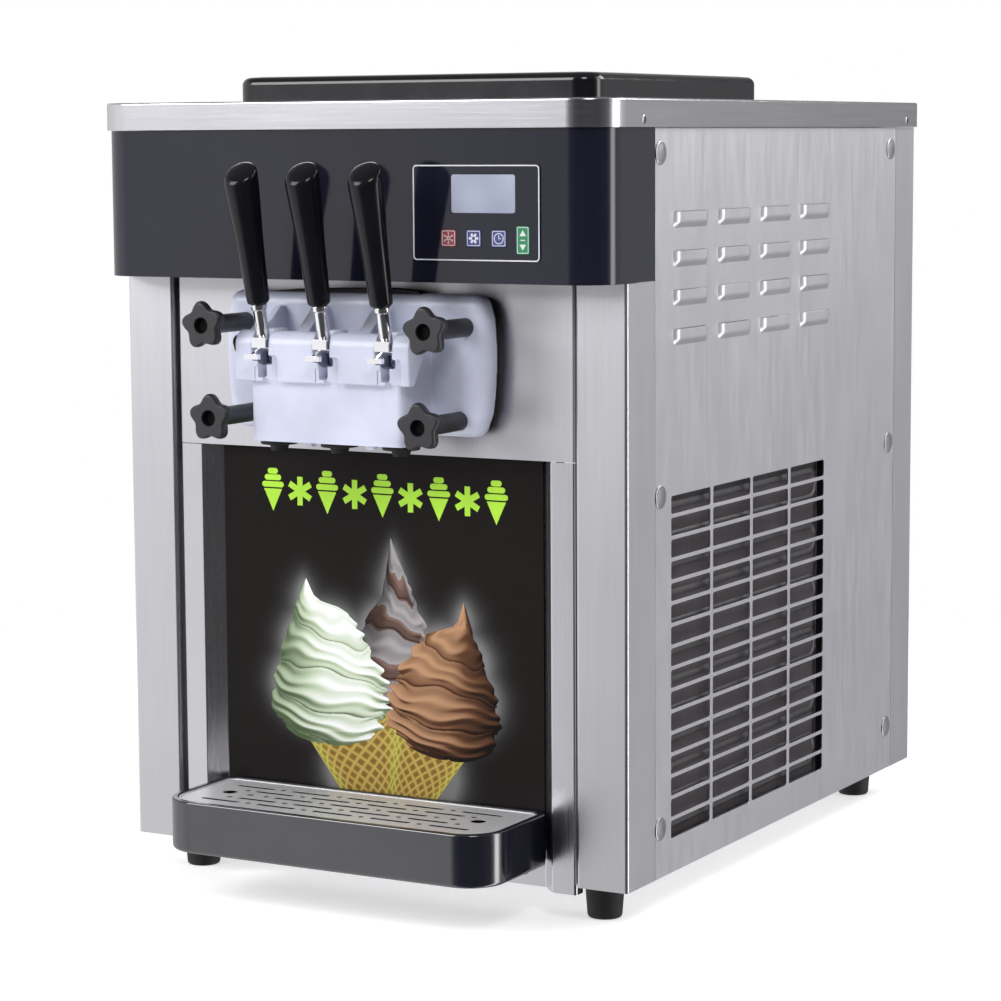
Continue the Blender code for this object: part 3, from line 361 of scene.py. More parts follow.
class Finish:
    """One Principled material and the few nodes that vary it."""

    def __init__(self, name, metallic=0.0, **constants):
        self.material = bpy.data.materials.new(name)
        self.material.use_nodes = True
        self.tree = self.material.node_tree
        self.shader = self.tree.nodes["Principled BSDF"]
        self.shader.inputs["Metallic"].default_value = metallic
        for socket, value in constants.items():
            self.shader.inputs[socket.replace("_", " ")].default_value = value
        self.place = self.tree.nodes.new("ShaderNodeTexCoord").outputs["Object"]

    def node(self, kind, **settings):
        made = self.tree.nodes.new(kind)
        for key, value in settings.items():
            setattr(made, key, value)
        return made

    def link(self, output, socket):
        self.tree.links.new(output, socket)

    def noise(self, scale, detail=3, roughness=0.55):
        """Noise over the piece. scale is cycles per metre, one number or one for each axis."""
        scale = scale if isinstance(scale, tuple) else (scale,) * 3
        mapping = self.node("ShaderNodeMapping")
        mapping.inputs["Scale"].default_value = scale
        self.link(self.place, mapping.inputs["Vector"])
        noise = self.node("ShaderNodeTexNoise")
        noise.inputs["Scale"].default_value = 1
        noise.inputs["Detail"].default_value = detail
        noise.inputs["Roughness"].default_value = roughness
        self.link(mapping.outputs["Vector"], noise.inputs["Vector"])
        return noise.outputs["Fac"]

    def spread(self, value, lowest, highest, start=0.3, end=0.7):
        """The value, spread from start..end over lowest..highest."""
        node = self.node("ShaderNodeMapRange")
        self.link(value, node.inputs["Value"])
        for socket, number in (("From Min", start), ("From Max", end), ("To Min", lowest), ("To Max", highest)):
            node.inputs[socket].default_value = number
        return node.outputs["Result"]

    def mixed(self, factor, first, second, blend="MIX"):
        node = self.node("ShaderNodeMix", data_type="RGBA", blend_type=blend)
        if isinstance(factor, float):
            node.inputs[0].default_value = factor
        else:
            self.link(factor, node.inputs[0])
        for socket, colour in ((node.inputs[6], first), (node.inputs[7], second)):
            if isinstance(colour, tuple):
                socket.default_value = (*colour, 1)
            else:
                self.link(colour, socket)
        return node.outputs[2]

    def colour(self, output):
        self.link(output, self.shader.inputs["Base Color"])

    def roughness(self, output):
        self.link(output, self.shader.inputs["Roughness"])

    def bump(self, output, strength, distance):
        node = self.node("ShaderNodeBump")
        node.inputs["Strength"].default_value = strength
        node.inputs["Distance"].default_value = distance
        self.link(output, node.inputs["Height"])
        self.link(node.outputs["Normal"], self.shader.inputs["Normal"])


def tinted(colour, share):
    return tuple(channel * share for channel in colour)


MADE = {}


def material(look):
    """Makes a look the first time that it is asked for, and hands out the same one after."""
    if look not in MADE:
        maker, *values = LOOKS[look]
        MADE[look] = maker(look, *values)
    return MADE[look]


def brushed(name, colour, roughness, grain, contrast=0.05, metallic=1.0):
    """Brushed stainless sheet. grain is how fast the scratches change along each axis."""
    look = Finish(name, metallic=metallic)
    scratches = look.noise(grain, detail=4, roughness=0.7)
    clouds = look.noise(5.0, detail=4)
    tone = look.mixed(look.spread(scratches, 0, 1), tinted(colour, 1 - contrast),
                      tinted(colour, 1 + contrast / 2))
    cloud = look.mixed(look.spread(clouds, 0, 1), (0.93, 0.93, 0.94), (1.0, 1.0, 1.0))
    look.colour(look.mixed(1.0, tone, cloud, "MULTIPLY"))
    look.roughness(look.spread(scratches, roughness - 0.04, roughness + 0.05))
    look.bump(scratches, 0.03, 0.0001)
    return look.material


def plastic(name, colour, roughness, smudge, peel, peel_strength, constants=None):
    """Moulded plastic: faint clouds of tone, smudged gloss and a fine moulded skin."""
    look = Finish(name, **(constants or {}))
    clouds = look.noise(14.0, detail=4)
    look.colour(look.mixed(look.spread(clouds, 0, 1), tinted(colour, 0.88), tinted(colour, 1.1)))
    smudges = look.noise(32.0, detail=5, roughness=0.65)
    look.roughness(look.spread(smudges, max(roughness - smudge, 0.03), roughness + smudge))
    look.bump(look.noise(peel, detail=2), peel_strength, 0.0002)
    return look.material


def painted_print(name, roughness):
    """Printed colour, held by the mesh as a colour attribute, under a thin laminate."""
    look = Finish(name, IOR=1.22)
    attribute = look.node("ShaderNodeVertexColor", layer_name="print")
    speckle = look.mixed(look.spread(look.noise(900.0, detail=2), 0, 1), (0.94, 0.94, 0.94), (1.0, 1.0, 1.0))
    look.colour(look.mixed(1.0, attribute.outputs["Color"], speckle, "MULTIPLY"))
    look.roughness(look.spread(look.noise(20.0), roughness - 0.05, roughness + 0.08))
    return look.material


def lcd(name):
    """A switched-off liquid crystal window: grey-blue, with the fine lattice of its cells."""
    look = Finish(name, Coat_Weight=0.4)
    checker = look.node("ShaderNodeTexChecker")
    checker.inputs["Scale"].default_value = 900
    look.link(look.place, checker.inputs["Vector"])
    glow = look.noise(22.0, detail=1)
    tone = look.mixed(look.spread(glow, 0, 1), (0.30, 0.33, 0.45), (0.40, 0.43, 0.55))
    look.colour(look.mixed(look.spread(checker.outputs["Fac"], 0.0, 0.05, 0, 1), tone, (0.25, 0.28, 0.40)))
    look.roughness(look.spread(look.noise(60.0), 0.14, 0.24))
    return look.material


ACROSS_GRAIN = 900.0
ALONG_GRAIN = 7.0
STEEL = (0.64, 0.63, 0.665)
SHEET_TONE = (0.59, 0.585, 0.615)
UPRIGHT = (ACROSS_GRAIN, ACROSS_GRAIN, ALONG_GRAIN)
LEVEL = (ALONG_GRAIN, ALONG_GRAIN, ACROSS_GRAIN)

# A maker and what it is given: colour and roughness, then grain, contrast and metallic for a metal,
# or smudge, peel, its strength and the shader's constants for a plastic.
LOOKS = {
    "steel_upright": (brushed, STEEL, 0.36, UPRIGHT),
    "steel_recess": (brushed, STEEL, 0.24, UPRIGHT),
    "steel_level": (brushed, STEEL, 0.19, LEVEL),
    "steel_grid": (brushed, (0.74, 0.735, 0.75), 0.52, 160.0, 0.04, 0.45),
    "sheet": (brushed, SHEET_TONE, 0.44, (240.0, 240.0, 18.0)),
    "chrome": (brushed, (0.88, 0.88, 0.90), 0.10, 60.0, 0.03),
    "alloy": (brushed, (0.42, 0.42, 0.43), 0.45, 160.0, 0.2),
    "fin": (plastic, (0.15, 0.133, 0.145), 0.5, 0.06, 200.0, 0.1),
    "tube": (brushed, (0.11, 0.105, 0.11), 0.5, (60.0, 200.0, 200.0), 0.2),
    "fascia": (plastic, (0.010, 0.010, 0.021), 0.08, 0.03, 120.0, 0.02),
    "gloss_black": (plastic, (0.006, 0.006, 0.009), 0.14, 0.05, 160.0, 0.04),
    "tray_black": (plastic, (0.006, 0.0065, 0.013), 0.13, 0.04, 140.0, 0.03, {"IOR": 1.9}),
    "grip_black": (plastic, (0.006, 0.006, 0.0085), 0.17, 0.04, 240.0, 0.04, {"IOR": 1.34}),
    "satin_black": (plastic, (0.02, 0.02, 0.022), 0.4, 0.08, 500.0, 0.2),
    "knob": (plastic, (0.022, 0.022, 0.027), 0.45, 0.08, 900.0, 0.35),
    # near black and barely reflecting: painted shade for the hollow in each knob
    "plug": (plastic, (0.002, 0.002, 0.002), 0.7, 0.08, 500.0, 0.1, {"IOR": 1.2}),
    "white": (plastic, (0.60, 0.62, 0.76), 0.34, 0.06, 90.0, 0.05,
              {"Subsurface_Weight": 0.12, "Subsurface_Scale": 0.004}),
    "cap": (brushed, (0.40, 0.40, 0.42), 0.36, 90.0, 0.1),
    "screw": (brushed, (0.30, 0.30, 0.31), 0.28, 120.0, 0.15),
    "rubber": (plastic, (0.013, 0.013, 0.013), 0.72, 0.08, 700.0, 0.5),
    "paint": (plastic, (0.018, 0.018, 0.02), 0.45, 0.1, 300.0, 0.3),
    "insulation": (plastic, (0.03, 0.03, 0.03), 0.9, 0.08, 260.0, 1.0),
    "red": (plastic, (0.30, 0.04, 0.045), 0.38, 0.06, 500.0, 0.15),
    "blue": (plastic, (0.045, 0.05, 0.20), 0.38, 0.06, 500.0, 0.15),
    "green": (plastic, (0.015, 0.22, 0.085), 0.38, 0.06, 500.0, 0.15),
    "mark": (plastic, (0.72, 0.73, 0.78), 0.5, 0.08, 600.0, 0.1),
    "lime": (plastic, (0.42, 0.78, 0.035), 0.4, 0.08, 500.0, 0.1),
    "print": (painted_print, 0.30),
    "display": (lcd,),
}


# ---------------------------------------------------------------- casing


def posts():
    """Bent sheet channels at the four corners."""
    inner_x = HALF_WIDTH - 51 * MM
    rear_y = high("rear_post_right").y
    front = [(inner_x, back(18 * MM)), (inner_x, FRONT_Y), (HALF_WIDTH, FRONT_Y),
             (HALF_WIDTH, high("front_post_right").y)]
    rear = [(HALF_WIDTH, low("rear_post_right").y), (HALF_WIDTH, rear_y), (inner_x - 2 * MM, rear_y)]
    for end, points in (("front", front), ("rear", rear)):
        outline = bent_sheet(rounded_path(points, 3 * MM), SHEET)
        for side, shape in (("right", outline), ("left", mirrored_x(outline))):
            node = f"{end}_post_{side}"
            piece(f"{node}_skin", "steel_upright", prism(shape, "Z", low(node).z, high(node).z),
                  stands_for=[node])


LOUVRE_LENGTH = 69.5 * MM
LOUVRE_PITCH = 94.3 * MM
LOUVRE_FRONT = 92 * MM
LOUVRE_TOP = 635.5 * MM
LOUVRE_ROW = 34.9 * MM
LOUVRE_HEIGHT = 14.5 * MM
LOUVRE_BULGE = 3.6 * MM
PROUD = 0.02 * MM
GRILLE_FRONT = 88.3 * MM
GRILLE_LOW = 67.2 * MM
GRILLE_CELL = (83 * MM, 16.3 * MM)
GRILLE_PITCH = (88.8 * MM, 19.84 * MM)


def louvre_height(s, t):
    """How far a louvre stands out, 0 to 1: cut straight along its top, pressed round elsewhere."""
    ends = min(s, 1 - s) * LOUVRE_LENGTH / (6 * MM)
    return ease(ends) ** 0.6 * ease((1 - t) * LOUVRE_HEIGHT / (6.5 * MM)) ** 0.7


def louvre(side, start_y, top_z):
    """A pressed hood, one sheet thick, whose mouth is the straight cut along its top."""
    columns, rows, wall = 26, 12, 1.1 * MM
    mesh = bmesh.new()
    skins = []
    for inward in (0, wall):
        skins.append([[mesh.verts.new((
            side * (HALF_WIDTH + PROUD + LOUVRE_BULGE * louvre_height(i / columns, j / rows) - inward),
            start_y + LOUVRE_LENGTH * i / columns, top_z - LOUVRE_HEIGHT * j / rows))
            for i in range(columns + 1)] for j in range(rows + 1)])
    outer, inner = skins
    for j in range(rows):
        for i in range(columns):
            quad(mesh, outer[j], outer[j + 1], i, i + 1)
            quad(mesh, inner[j], inner[j + 1], i + 1, i)
    for j in range(rows):
        for i, above, below in ((0, j, j + 1), (columns, j + 1, j)):
            mesh.faces.new((outer[above][i], outer[below][i], inner[below][i], inner[above][i]))
    for i in range(columns):
        quad(mesh, outer[0], inner[0], i + 1, i)
        quad(mesh, outer[rows], inner[rows], i, i + 1)
    return outward(mesh)


def side_panel(name, side):
    near, far = sorted((side * HALF_WIDTH, side * (HALF_WIDTH - SHEET)))
    start_y, end_y = low(name).y, high(name).y
    holes, hoods = [], []
    for row in range(4):
        for column in range(4):
            start = back(LOUVRE_FRONT + column * LOUVRE_PITCH)
            top = LOUVRE_TOP - row * LOUVRE_ROW
            hoods.append(louvre(side, start, top))
            holes.append(box(near - MM, far + MM, start + 2 * MM, start + LOUVRE_LENGTH - 2 * MM,
                             top - LOUVRE_HEIGHT + 2 * MM, top - 0.1 * MM))
    for row in range(16):
        for column in range(4):
            start = back(GRILLE_FRONT + column * GRILLE_PITCH[0])
            bottom = GRILLE_LOW + row * GRILLE_PITCH[1]
            outline = rounded_rectangle(start, start + GRILLE_CELL[0], bottom, bottom + GRILLE_CELL[1],
                                        2.2 * MM, 3)
            holes.append(prism(outline, "X", near - MM, far + MM))
    panel = make_object(f"{name}_sheet", box(near, far, start_y, end_y, BODY_LOW, BODY_HIGH))
    apply_boolean(panel, together(*holes), "DIFFERENCE")
    round_edges(panel, 0.25 * MM, 1)
    shape = bmesh.new()
    shape.from_mesh(panel.data)
    bpy.data.objects.remove(panel, do_unlink=True)
    piece(f"{name}_skin", "sheet", together(shape, *hoods), stands_for=[name], angle=50)


CAP_DEPTHS = (65.5 * MM, 606.9 * MM)
CAP_HEIGHTS = (687.9 * MM, 382.9 * MM, 81 * MM)
RIM_SCREW_DEPTHS = (25 * MM, 642 * MM)
RIM_SCREW_Z = 717 * MM
CAP_DOME = ((10.6, 0), (10.6, 0.7), (10.2, 1.1), (9.4, 1.3), (8.6, 1.2), (7.8, 1.25), (5.2, 1.7), (2.4, 1.9),
            (0.3, 1.95))
RIM_SCREW_DOME = ((4.2, 0), (4.1, 0.5), (3.2, 1), (0.4, 1.15))


def wall_heads(dome, sign, x, places, steps):
    """Turned heads on a side wall. dome is (radius, height) in mm, places are (depth, z)."""
    return [turned([(r * MM, sign * h * MM) for r, h in dome], (x, back(depth), z), "X", steps)
            for depth, z in places]


def screw_caps():
    """Domed caps over the side panels' screws, and small cross-slotted screws in the rim."""
    for side, sign in (("right", 1), ("left", -1)):
        caps = wall_heads(CAP_DOME, sign, sign * (HALF_WIDTH + PROUD),
                          [(depth, z) for depth in CAP_DEPTHS for z in CAP_HEIGHTS], 32)
        piece(f"screw_caps_{side}", "cap", together(*caps))
        x = sign * (high("top_cover").x - 0.3 * MM)
        screws = wall_heads(RIM_SCREW_DOME, sign, x, [(depth, RIM_SCREW_Z) for depth in RIM_SCREW_DEPTHS], 24)
        slots = [together(*[box(x - 2 * MM, x + 2 * MM, back(depth) - a, back(depth) + a,
                                RIM_SCREW_Z - b, RIM_SCREW_Z + b) for depth in RIM_SCREW_DEPTHS])
                 for a, b in mm(((2.6, 0.5), (0.5, 2.6)))]
        piece(f"rim_screws_{side}", "screw", together(*screws), cuts=slots)


def rim_outline(inset):
    """The top cover from above: big corners in front like the fascia's, small ones behind."""
    half = high("top_cover").x - inset
    front_y, rear_y = low("top_cover").y + inset, high("top_cover").y - inset
    corner = FASCIA_CORNER + 4 * MM - inset
    small = max(6 * MM - inset, 2 * MM)
    points = arc(half - corner, front_y + corner, corner, -90, 0, 24)
    points += arc(half - small, rear_y - small, small, 0, 90, 8)
    return points + mirrored_x(points)


def top_cover():
    rings = [[(x, y, RIM_LOW) for x, y in rim_outline(0)]]
    rings += [[(x, y, RIM_HIGH - drop) for x, y in rim_outline(inset)] for inset, drop in rounding(2 * MM)]
    inside = prism(rim_outline(SHEET), "Z", RIM_LOW - MM, RIM_HIGH - SHEET)
    mouths = []
    for side in ("left", "right"):
        corner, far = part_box(f"hopper_{side}")
        inset = 3.7 * MM - 2 * GAP
        outline = rounded_rectangle(corner.x + inset, far.x - inset, corner.y + inset, far.y - inset, 20.6 * MM)
        mouths.append(prism(outline, "Z", RIM_HIGH - 5 * MM, RIM_HIGH + MM))
    piece("top_cover_skin", "steel_level", loft(rings), cuts=[inside, together(*mouths)],
          stands_for=["top_cover"])


FOOT_PROFILE = ((13, 0), (14.6, 0.3), (15.6, 1.4), (16, 3), (18.2, 32), (18.4, 34), (17.8, 35))


def feet():
    for end in ("front", "rear"):
        for side in ("left", "right"):
            node = f"foot_{end}_{side}"
            x, y, _ = centre_of(node)
            piece(f"{node}_pad", "rubber", turned(mm(FOOT_PROFILE), (x, y, 0), "Z"), stands_for=[node])


def rear_panel():
    """The rear sheet with rows of round-ended slots, its screws and the inlet's opening."""
    corner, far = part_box("rear_panel")
    through = (corner.y - MM, far.y + MM)
    slots = []
    for row in range(10):
        for side in (-1, 1):
            bottom = 300 * MM + row * 26 * MM
            near, out = sorted((side * 14 * MM, side * 184 * MM))
            outline = rounded_rectangle(near, out, bottom, bottom + 10 * MM, 4.9 * MM, 6)
            slots.append(prism(outline, "Y", *through))
    inlet_low, inlet_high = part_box("power_inlet")
    slots.append(box(inlet_low.x + 2 * MM, inlet_high.x - 2 * MM, *through,
                     inlet_low.z + 2 * MM, inlet_high.z - 2 * MM))
    piece("rear_panel_skin", "sheet", box(corner.x, far.x, corner.y, far.y, corner.z, far.z),
          cuts=[together(*slots)], stands_for=["rear_panel"], edge=0.25 * MM)
    dome = mm(((4.5, 0), (4.4, 0.4), (3.6, 0.8), (0.4, 0.9)))
    heads = [turned(dome, (x, far.y, z * MM), "Y", 20)
             for x in (corner.x + 9 * MM, far.x - 9 * MM) for z in (60, 220, 380, 540, 690)]
    piece("rear_panel_screws", "screw", together(*heads))


# ---------------------------------------------------------------- front


def front_fascia():
    corner_x, front_y = HALF_WIDTH, low("front_fascia").y
    ends_y = high("front_fascia").y
    wall = 3 * MM
    points = [(-corner_x, ends_y), (-corner_x, front_y), (corner_x, front_y), (corner_x, ends_y)]
    walls = prism(bent_sheet(rounded_path(points, FASCIA_CORNER, 24), wall), "Z", FASCIA_LOW, BODY_HIGH)
    inner_x, inner_y = corner_x - MM, front_y + MM
    floor_points = [(-inner_x, ends_y - MM), (-inner_x, inner_y), (inner_x, inner_y), (inner_x, ends_y - MM)]
    floor = prism(rounded_path(floor_points, FASCIA_CORNER - MM, 24), "Z", FASCIA_LOW, FASCIA_LOW + wall)
    low_x, low_z, high_x, high_z = bezel_sides()
    opening = box(low_x + 2.5 * MM, high_x - 2.5 * MM, front_y - MM, front_y + 9 * MM,
                  low_z + 2.5 * MM, high_z - 2.5 * MM)
    piece("fascia_shell", "fascia", walls, joins=[floor], cuts=[opening], stands_for=["front_fascia"])


def bezel_sides():
    corner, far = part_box("control_bezel")
    return corner.x, corner.z, far.x, far.z


def control_panel():
    """A black plate in a thin bright line, the display window, three square keys and a rocker."""
    low_x, low_z, high_x, high_z = bezel_sides()
    face_y, rear_y = low("control_bezel").y, high("control_bezel").y
    plate = prism(face_outline("control_bezel", 0, 4 * MM), "Y", face_y, low("front_fascia").y - GAP)
    inset = 2.8 * MM
    block = box(low_x + inset, high_x - inset, face_y + 0.4 * MM, rear_y, low_z + inset, high_z - inset)
    holes = [prism(face_outline(node, -GAP, radius * MM), "Y", face_y - MM, rear_y + MM) for node, radius in
             (("display_window", 2.5), ("key_cool", 1), ("key_freeze", 1), ("key_clock", 1),
              ("key_up_down", 1.5))]
    piece("bezel_plate", "fascia", plate, joins=[block], cuts=[together(*holes)], stands_for=["control_bezel"])
    piece("bezel_line", "mark", face_frame("control_bezel", 0.4 * MM, 3.6 * MM, 1.1 * MM,
                                           face_y - 0.12 * MM, face_y + 0.2 * MM))
    piece("display_glass", "display", pillow("display_window", 2.5 * MM, 0.4 * MM),
          stands_for=["display_window"])
    key("key_cool", "red", snow_icon)
    key("key_freeze", "blue", flower_icon)
    key("key_clock", "blue", clock_icon)
    key("key_up_down", "green", arrows_icon)


def key(node, look, icon):
    """One key cap with a bright outline and a picture on its face."""
    piece(f"{node}_cap", look, pillow(node, 1.4 * MM, 0.5 * MM, 6), body=node, stands_for=[node])
    face_y = low(node).y
    print_y = face_y - 0.06 * MM
    x, _, z = centre_of(node)
    line = face_frame(node, 0.9 * MM, 1.3 * MM, 0.55 * MM, print_y, face_y + 0.1 * MM)
    piece(f"{node}_print", "mark", together(*icon(x, z, print_y), line), body=node)


INK = 0.15 * MM


def stroke(x, z, angle, start, end, width):
    """The outline of a straight stroke that points away from (x, z)."""
    along = Vector((math.cos(angle), math.sin(angle)))
    across = Vector((-along.y, along.x)) * width / 2
    centre = Vector((x, z))
    return [tuple(c) for c in (centre + along * start - across, centre + along * end - across,
                               centre + along * end + across, centre + along * start + across)]


def bar(x, z, angle, start, end, width, y):
    return prism(stroke(x, z, angle, start, end, width), "Y", y, y + INK)


def dot(x, z, y, angle, reach, radius, steps):
    """A printed dot, away from (x, z)."""
    return rod(radius, (x + reach * math.cos(angle), y, z + reach * math.sin(angle)), "Y", 0, INK, steps)


def circle_print(x, z, radius, width, y):
    return turned([(radius, 0), (radius, INK), (radius - width, INK), (radius - width, 0)],
                  (x, y, z), "Y", 28, looped=True)


def snow_icon(x, z, y):
    """Six spokes with a dot at each end."""
    marks = [circle_print(x, z, 1.6 * MM, 0.55 * MM, y)]
    for i in range(6):
        angle = math.pi / 6 + i * math.pi / 3
        marks.append(bar(x, z, angle, 2.0 * MM, 4.9 * MM, 0.7 * MM, y))
        marks.append(dot(x, z, y, angle, 4.4 * MM, 0.85 * MM, 12))
    return marks


def flower_icon(x, z, y):
    """A ring with six round petals."""
    petals = [dot(x, z, y, i * math.pi / 3, 3.5 * MM, 1.25 * MM, 14) for i in range(6)]
    return [circle_print(x, z, 2.6 * MM, 1.0 * MM, y)] + petals


def clock_icon(x, z, y):
    """A dial with two hands."""
    return [circle_print(x, z, 4.8 * MM, 0.7 * MM, y), bar(x, z, math.pi / 2, -0.4 * MM, 3.2 * MM, 0.7 * MM, y),
            bar(x, z, 0, -0.4 * MM, 2.4 * MM, 0.7 * MM, y)]


def arrows_icon(x, z, y):
    """An arrowhead up, one down, and a bar between them."""
    marks = [bar(x, z, 0, -2.2 * MM, 2.2 * MM, 0.8 * MM, y)]
    for way in (1, -1):
        tip, foot = z + way * 8.8 * MM, z + way * 3.6 * MM
        marks.append(prism([(x - 3.2 * MM, foot), (x + 3.2 * MM, foot), (x, tip)], "Y", y, y + INK))
    return marks


def front_panels():
    """Two bent sheets: a flat one round the freezing cylinders, and a recessed one below it."""
    upper_low, upper_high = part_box("upper_front_panel")
    half, plane = upper_high.x, upper_low.y
    upper = [(-half, plane + 13 * MM), (-half, plane), (half, plane), (half, plane + 13 * MM)]
    holes = [rod(58.6 * MM, (side * FLAVOUR_PITCH, plane, 505 * MM), "Y", -5 * MM, 5 * MM, 64)
             for side in (-1, 1)]
    piece("upper_front_panel_skin", "steel_upright",
          prism(bent_sheet(rounded_path(upper, 2.5 * MM), SHEET), "Z", upper_low.z, upper_high.z),
          cuts=[together(*holes)], stands_for=["upper_front_panel"])
    lower_low, lower_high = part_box("lower_front_panel")
    recess_half, mouth, recess_y = 172.4 * MM, 186.5 * MM, back(20.4 * MM)
    right = [(recess_half, recess_y), (mouth, plane), (half, plane), (half, plane + 13 * MM)]
    piece("lower_front_panel_skin", "steel_recess",
          prism(bent_sheet(rounded_path(mirrored_x(right) + right, 2.5 * MM), SHEET), "Z",
                lower_low.z, lower_high.z),
          stands_for=["lower_front_panel"])


# ---------------------------------------------------------------- drip tray


def tray_outline(inset):
    """The tray from above: round front corners, and a narrower back that enters the recess.

    It stands a little to the right in the recess, where it has play.
    """
    middle = centre_of("drip_tray")[0]
    half = (high("drip_tray").x - low("drip_tray").x) / 2 - inset
    front_y = low("drip_tray").y + inset
    corner = 36 * MM - inset
    rear_half = 167.4 * MM
    points = arc(half - corner, front_y + corner, corner, -90, 0, 24)
    points += [(half, back(8.5 * MM) - 0.3 * inset), (rear_half - inset, back(18.7 * MM) - inset)]
    return [(middle + x, y) for x, y in points + mirrored_x(points)]


def tray_ring(inset, z):
    return [(x, y, z) for x, y in tray_outline(inset)]


def drip_tray():
    """A moulding with a round lower edge, a flat rim and a shallow well, and a peg under its right end."""
    rings = [tray_ring(4 * MM - 4 * MM * math.sin(a), TRAY_LOW + 4 * MM - 4 * MM * math.cos(a))
             for a in quarter(5)]
    rings += [tray_ring(inset, TRAY_HIGH - drop) for inset, drop in rounding(2 * MM)]
    rings += [tray_ring(inset, z) for inset, z in
              mm(((5.2, 0), (5.5, -0.3), (5.5, -3), (8.5, -3)), TRAY_HIGH) + mm(((9.5, 6), (13, 3)), TRAY_LOW)]
    peg = turned([(3.4 * MM, 42 * MM), (4 * MM, 42.8 * MM), (4 * MM, TRAY_LOW + 2 * MM)],
                 (160 * MM, back(0), 0), "Z", 24)
    piece("drip_tray_moulding", "tray_black", loft(rings), body="tray", joins=[peg], stands_for=["drip_tray"])


GRID_SLOT_PITCH = 61 * MM
GRID_ROW_PITCH = 15.2 * MM


def drip_grid():
    """A pressed steel plate with a rolled edge, staggered slots, round holes and two finger holes."""
    low_z, top_z = low("drip_grid").z, high("drip_grid").z
    face_z = top_z - 0.9 * MM
    edge = 6 * MM
    rings = [tray_ring(edge, low_z)]
    for i in range(9):
        angle = math.pi * i / 8
        rings.append(tray_ring(edge + 1.3 * MM - 1.3 * MM * math.cos(angle), face_z + 0.9 * MM * math.sin(angle)))
    rings.append(tray_ring(edge + 4 * MM, face_z - 0.1 * MM))
    through = (low_z - MM, top_z + MM)
    middle = 1.5 * MM
    holes = [rod(7 * MM, (middle + side * 133.3 * MM, back(-37.7 * MM), 0), "Z", *through, 32)
             for side in (-1, 1)]
    for row, slots in enumerate((5, 4, 3, 4, 5)):
        y = back(-70.5 * MM + row * GRID_ROW_PITCH)
        for column in range(slots):
            x = middle + (column - (slots - 1) / 2) * GRID_SLOT_PITCH
            outline = rounded_rectangle(x - 21 * MM, x + 21 * MM, y - 3.2 * MM, y + 3.2 * MM, 3.1 * MM)
            holes.append(prism(outline, "Z", *through))
        gaps = slots - 1 if slots == 5 else slots + 1
        for gap in range(gaps):
            x = middle + (gap - (gaps - 1) / 2) * GRID_SLOT_PITCH
            holes.append(rod(3 * MM, (x, y, 0), "Z", *through, 16))
        if slots == 3:
            holes += [rod(3.6 * MM, (middle + side * 109 * MM, y, 0), "Z", *through, 20) for side in (-1, 1)]
    hollow = loft([tray_ring(edge + 2 * MM, low_z - MM), tray_ring(edge + 2 * MM, face_z - 0.7 * MM)])
    piece("drip_grid_plate", "steel_grid", loft(rings), body="grid", cuts=[hollow, together(*holes)],
          stands_for=["drip_grid"], angle=45)


# ---------------------------------------------------------------- dispensing head


def flavour_xs():
    return (-FLAVOUR_PITCH, 0, FLAVOUR_PITCH)


def plate_ring(inset, y):
    """The cover plate's outline: sides that bulge, top and bottom nearly straight."""
    low_z, high_z = 437 * MM + inset, 564 * MM - inset
    corner = max(13 * MM - inset, 2.5 * MM)
    middle, half_height = 500.5 * MM, 63.5 * MM

    def half_width(z):
        from_middle = (z - middle) / half_height
        return 140.4 * MM - 6 * MM * from_middle ** 2 + 1.5 * MM * from_middle - inset

    right = arc(half_width(low_z) - corner, low_z + corner, corner, -90, -8, 8)
    for step in range(1, 12):
        z = low_z + corner + (high_z - low_z - 2 * corner) * step / 12
        right.append((half_width(z), z))
    right += arc(half_width(high_z) - corner, high_z - corner, corner, 8, 90, 8)
    return [(x - 1.6 * MM, y, z) for x, z in right + mirrored_x(right)]


def head_block():
    front_y, rear_y = back(-71 * MM), back(-PLATE_OUT + 6 * MM)
    corner, half = 6 * MM, 80 * MM
    points = arc(half - corner, front_y + corner, corner, -90, 0, 8) + [(half, rear_y)]
    return prism(points + mirrored_x(points), "Z", BLOCK_LOW, 526 * MM)


BARREL_RADIUS = 13 * MM
BARREL_HALF = 91 * MM
SLAB_FRONT = -90 * MM
PIN_BORE = 4.4 * MM


def barrel():
    """The round-topped bar that carries the pivot pin, with its slab down the front."""
    front_y = back(-PIVOT_OUT) - BARREL_RADIUS
    points = [(front_y, 486 * MM), (front_y + 9 * MM, 486 * MM),
              (back(-PIVOT_OUT) + BARREL_RADIUS, PIVOT_Z - 9 * MM)]
    return prism(points + arc(back(-PIVOT_OUT), PIVOT_Z, BARREL_RADIUS, 0, 180, 24), "X",
                 -BARREL_HALF, BARREL_HALF)


def slab_gaps():
    """The places right of each lever where the slab is left out below the round bar."""
    return together(*[box(x + 2.8 * MM, x + 17.5 * MM, back(SLAB_FRONT), back(-72.5 * MM),
                          480 * MM, PIVOT_Z - 9 * MM) for x in flavour_xs()])


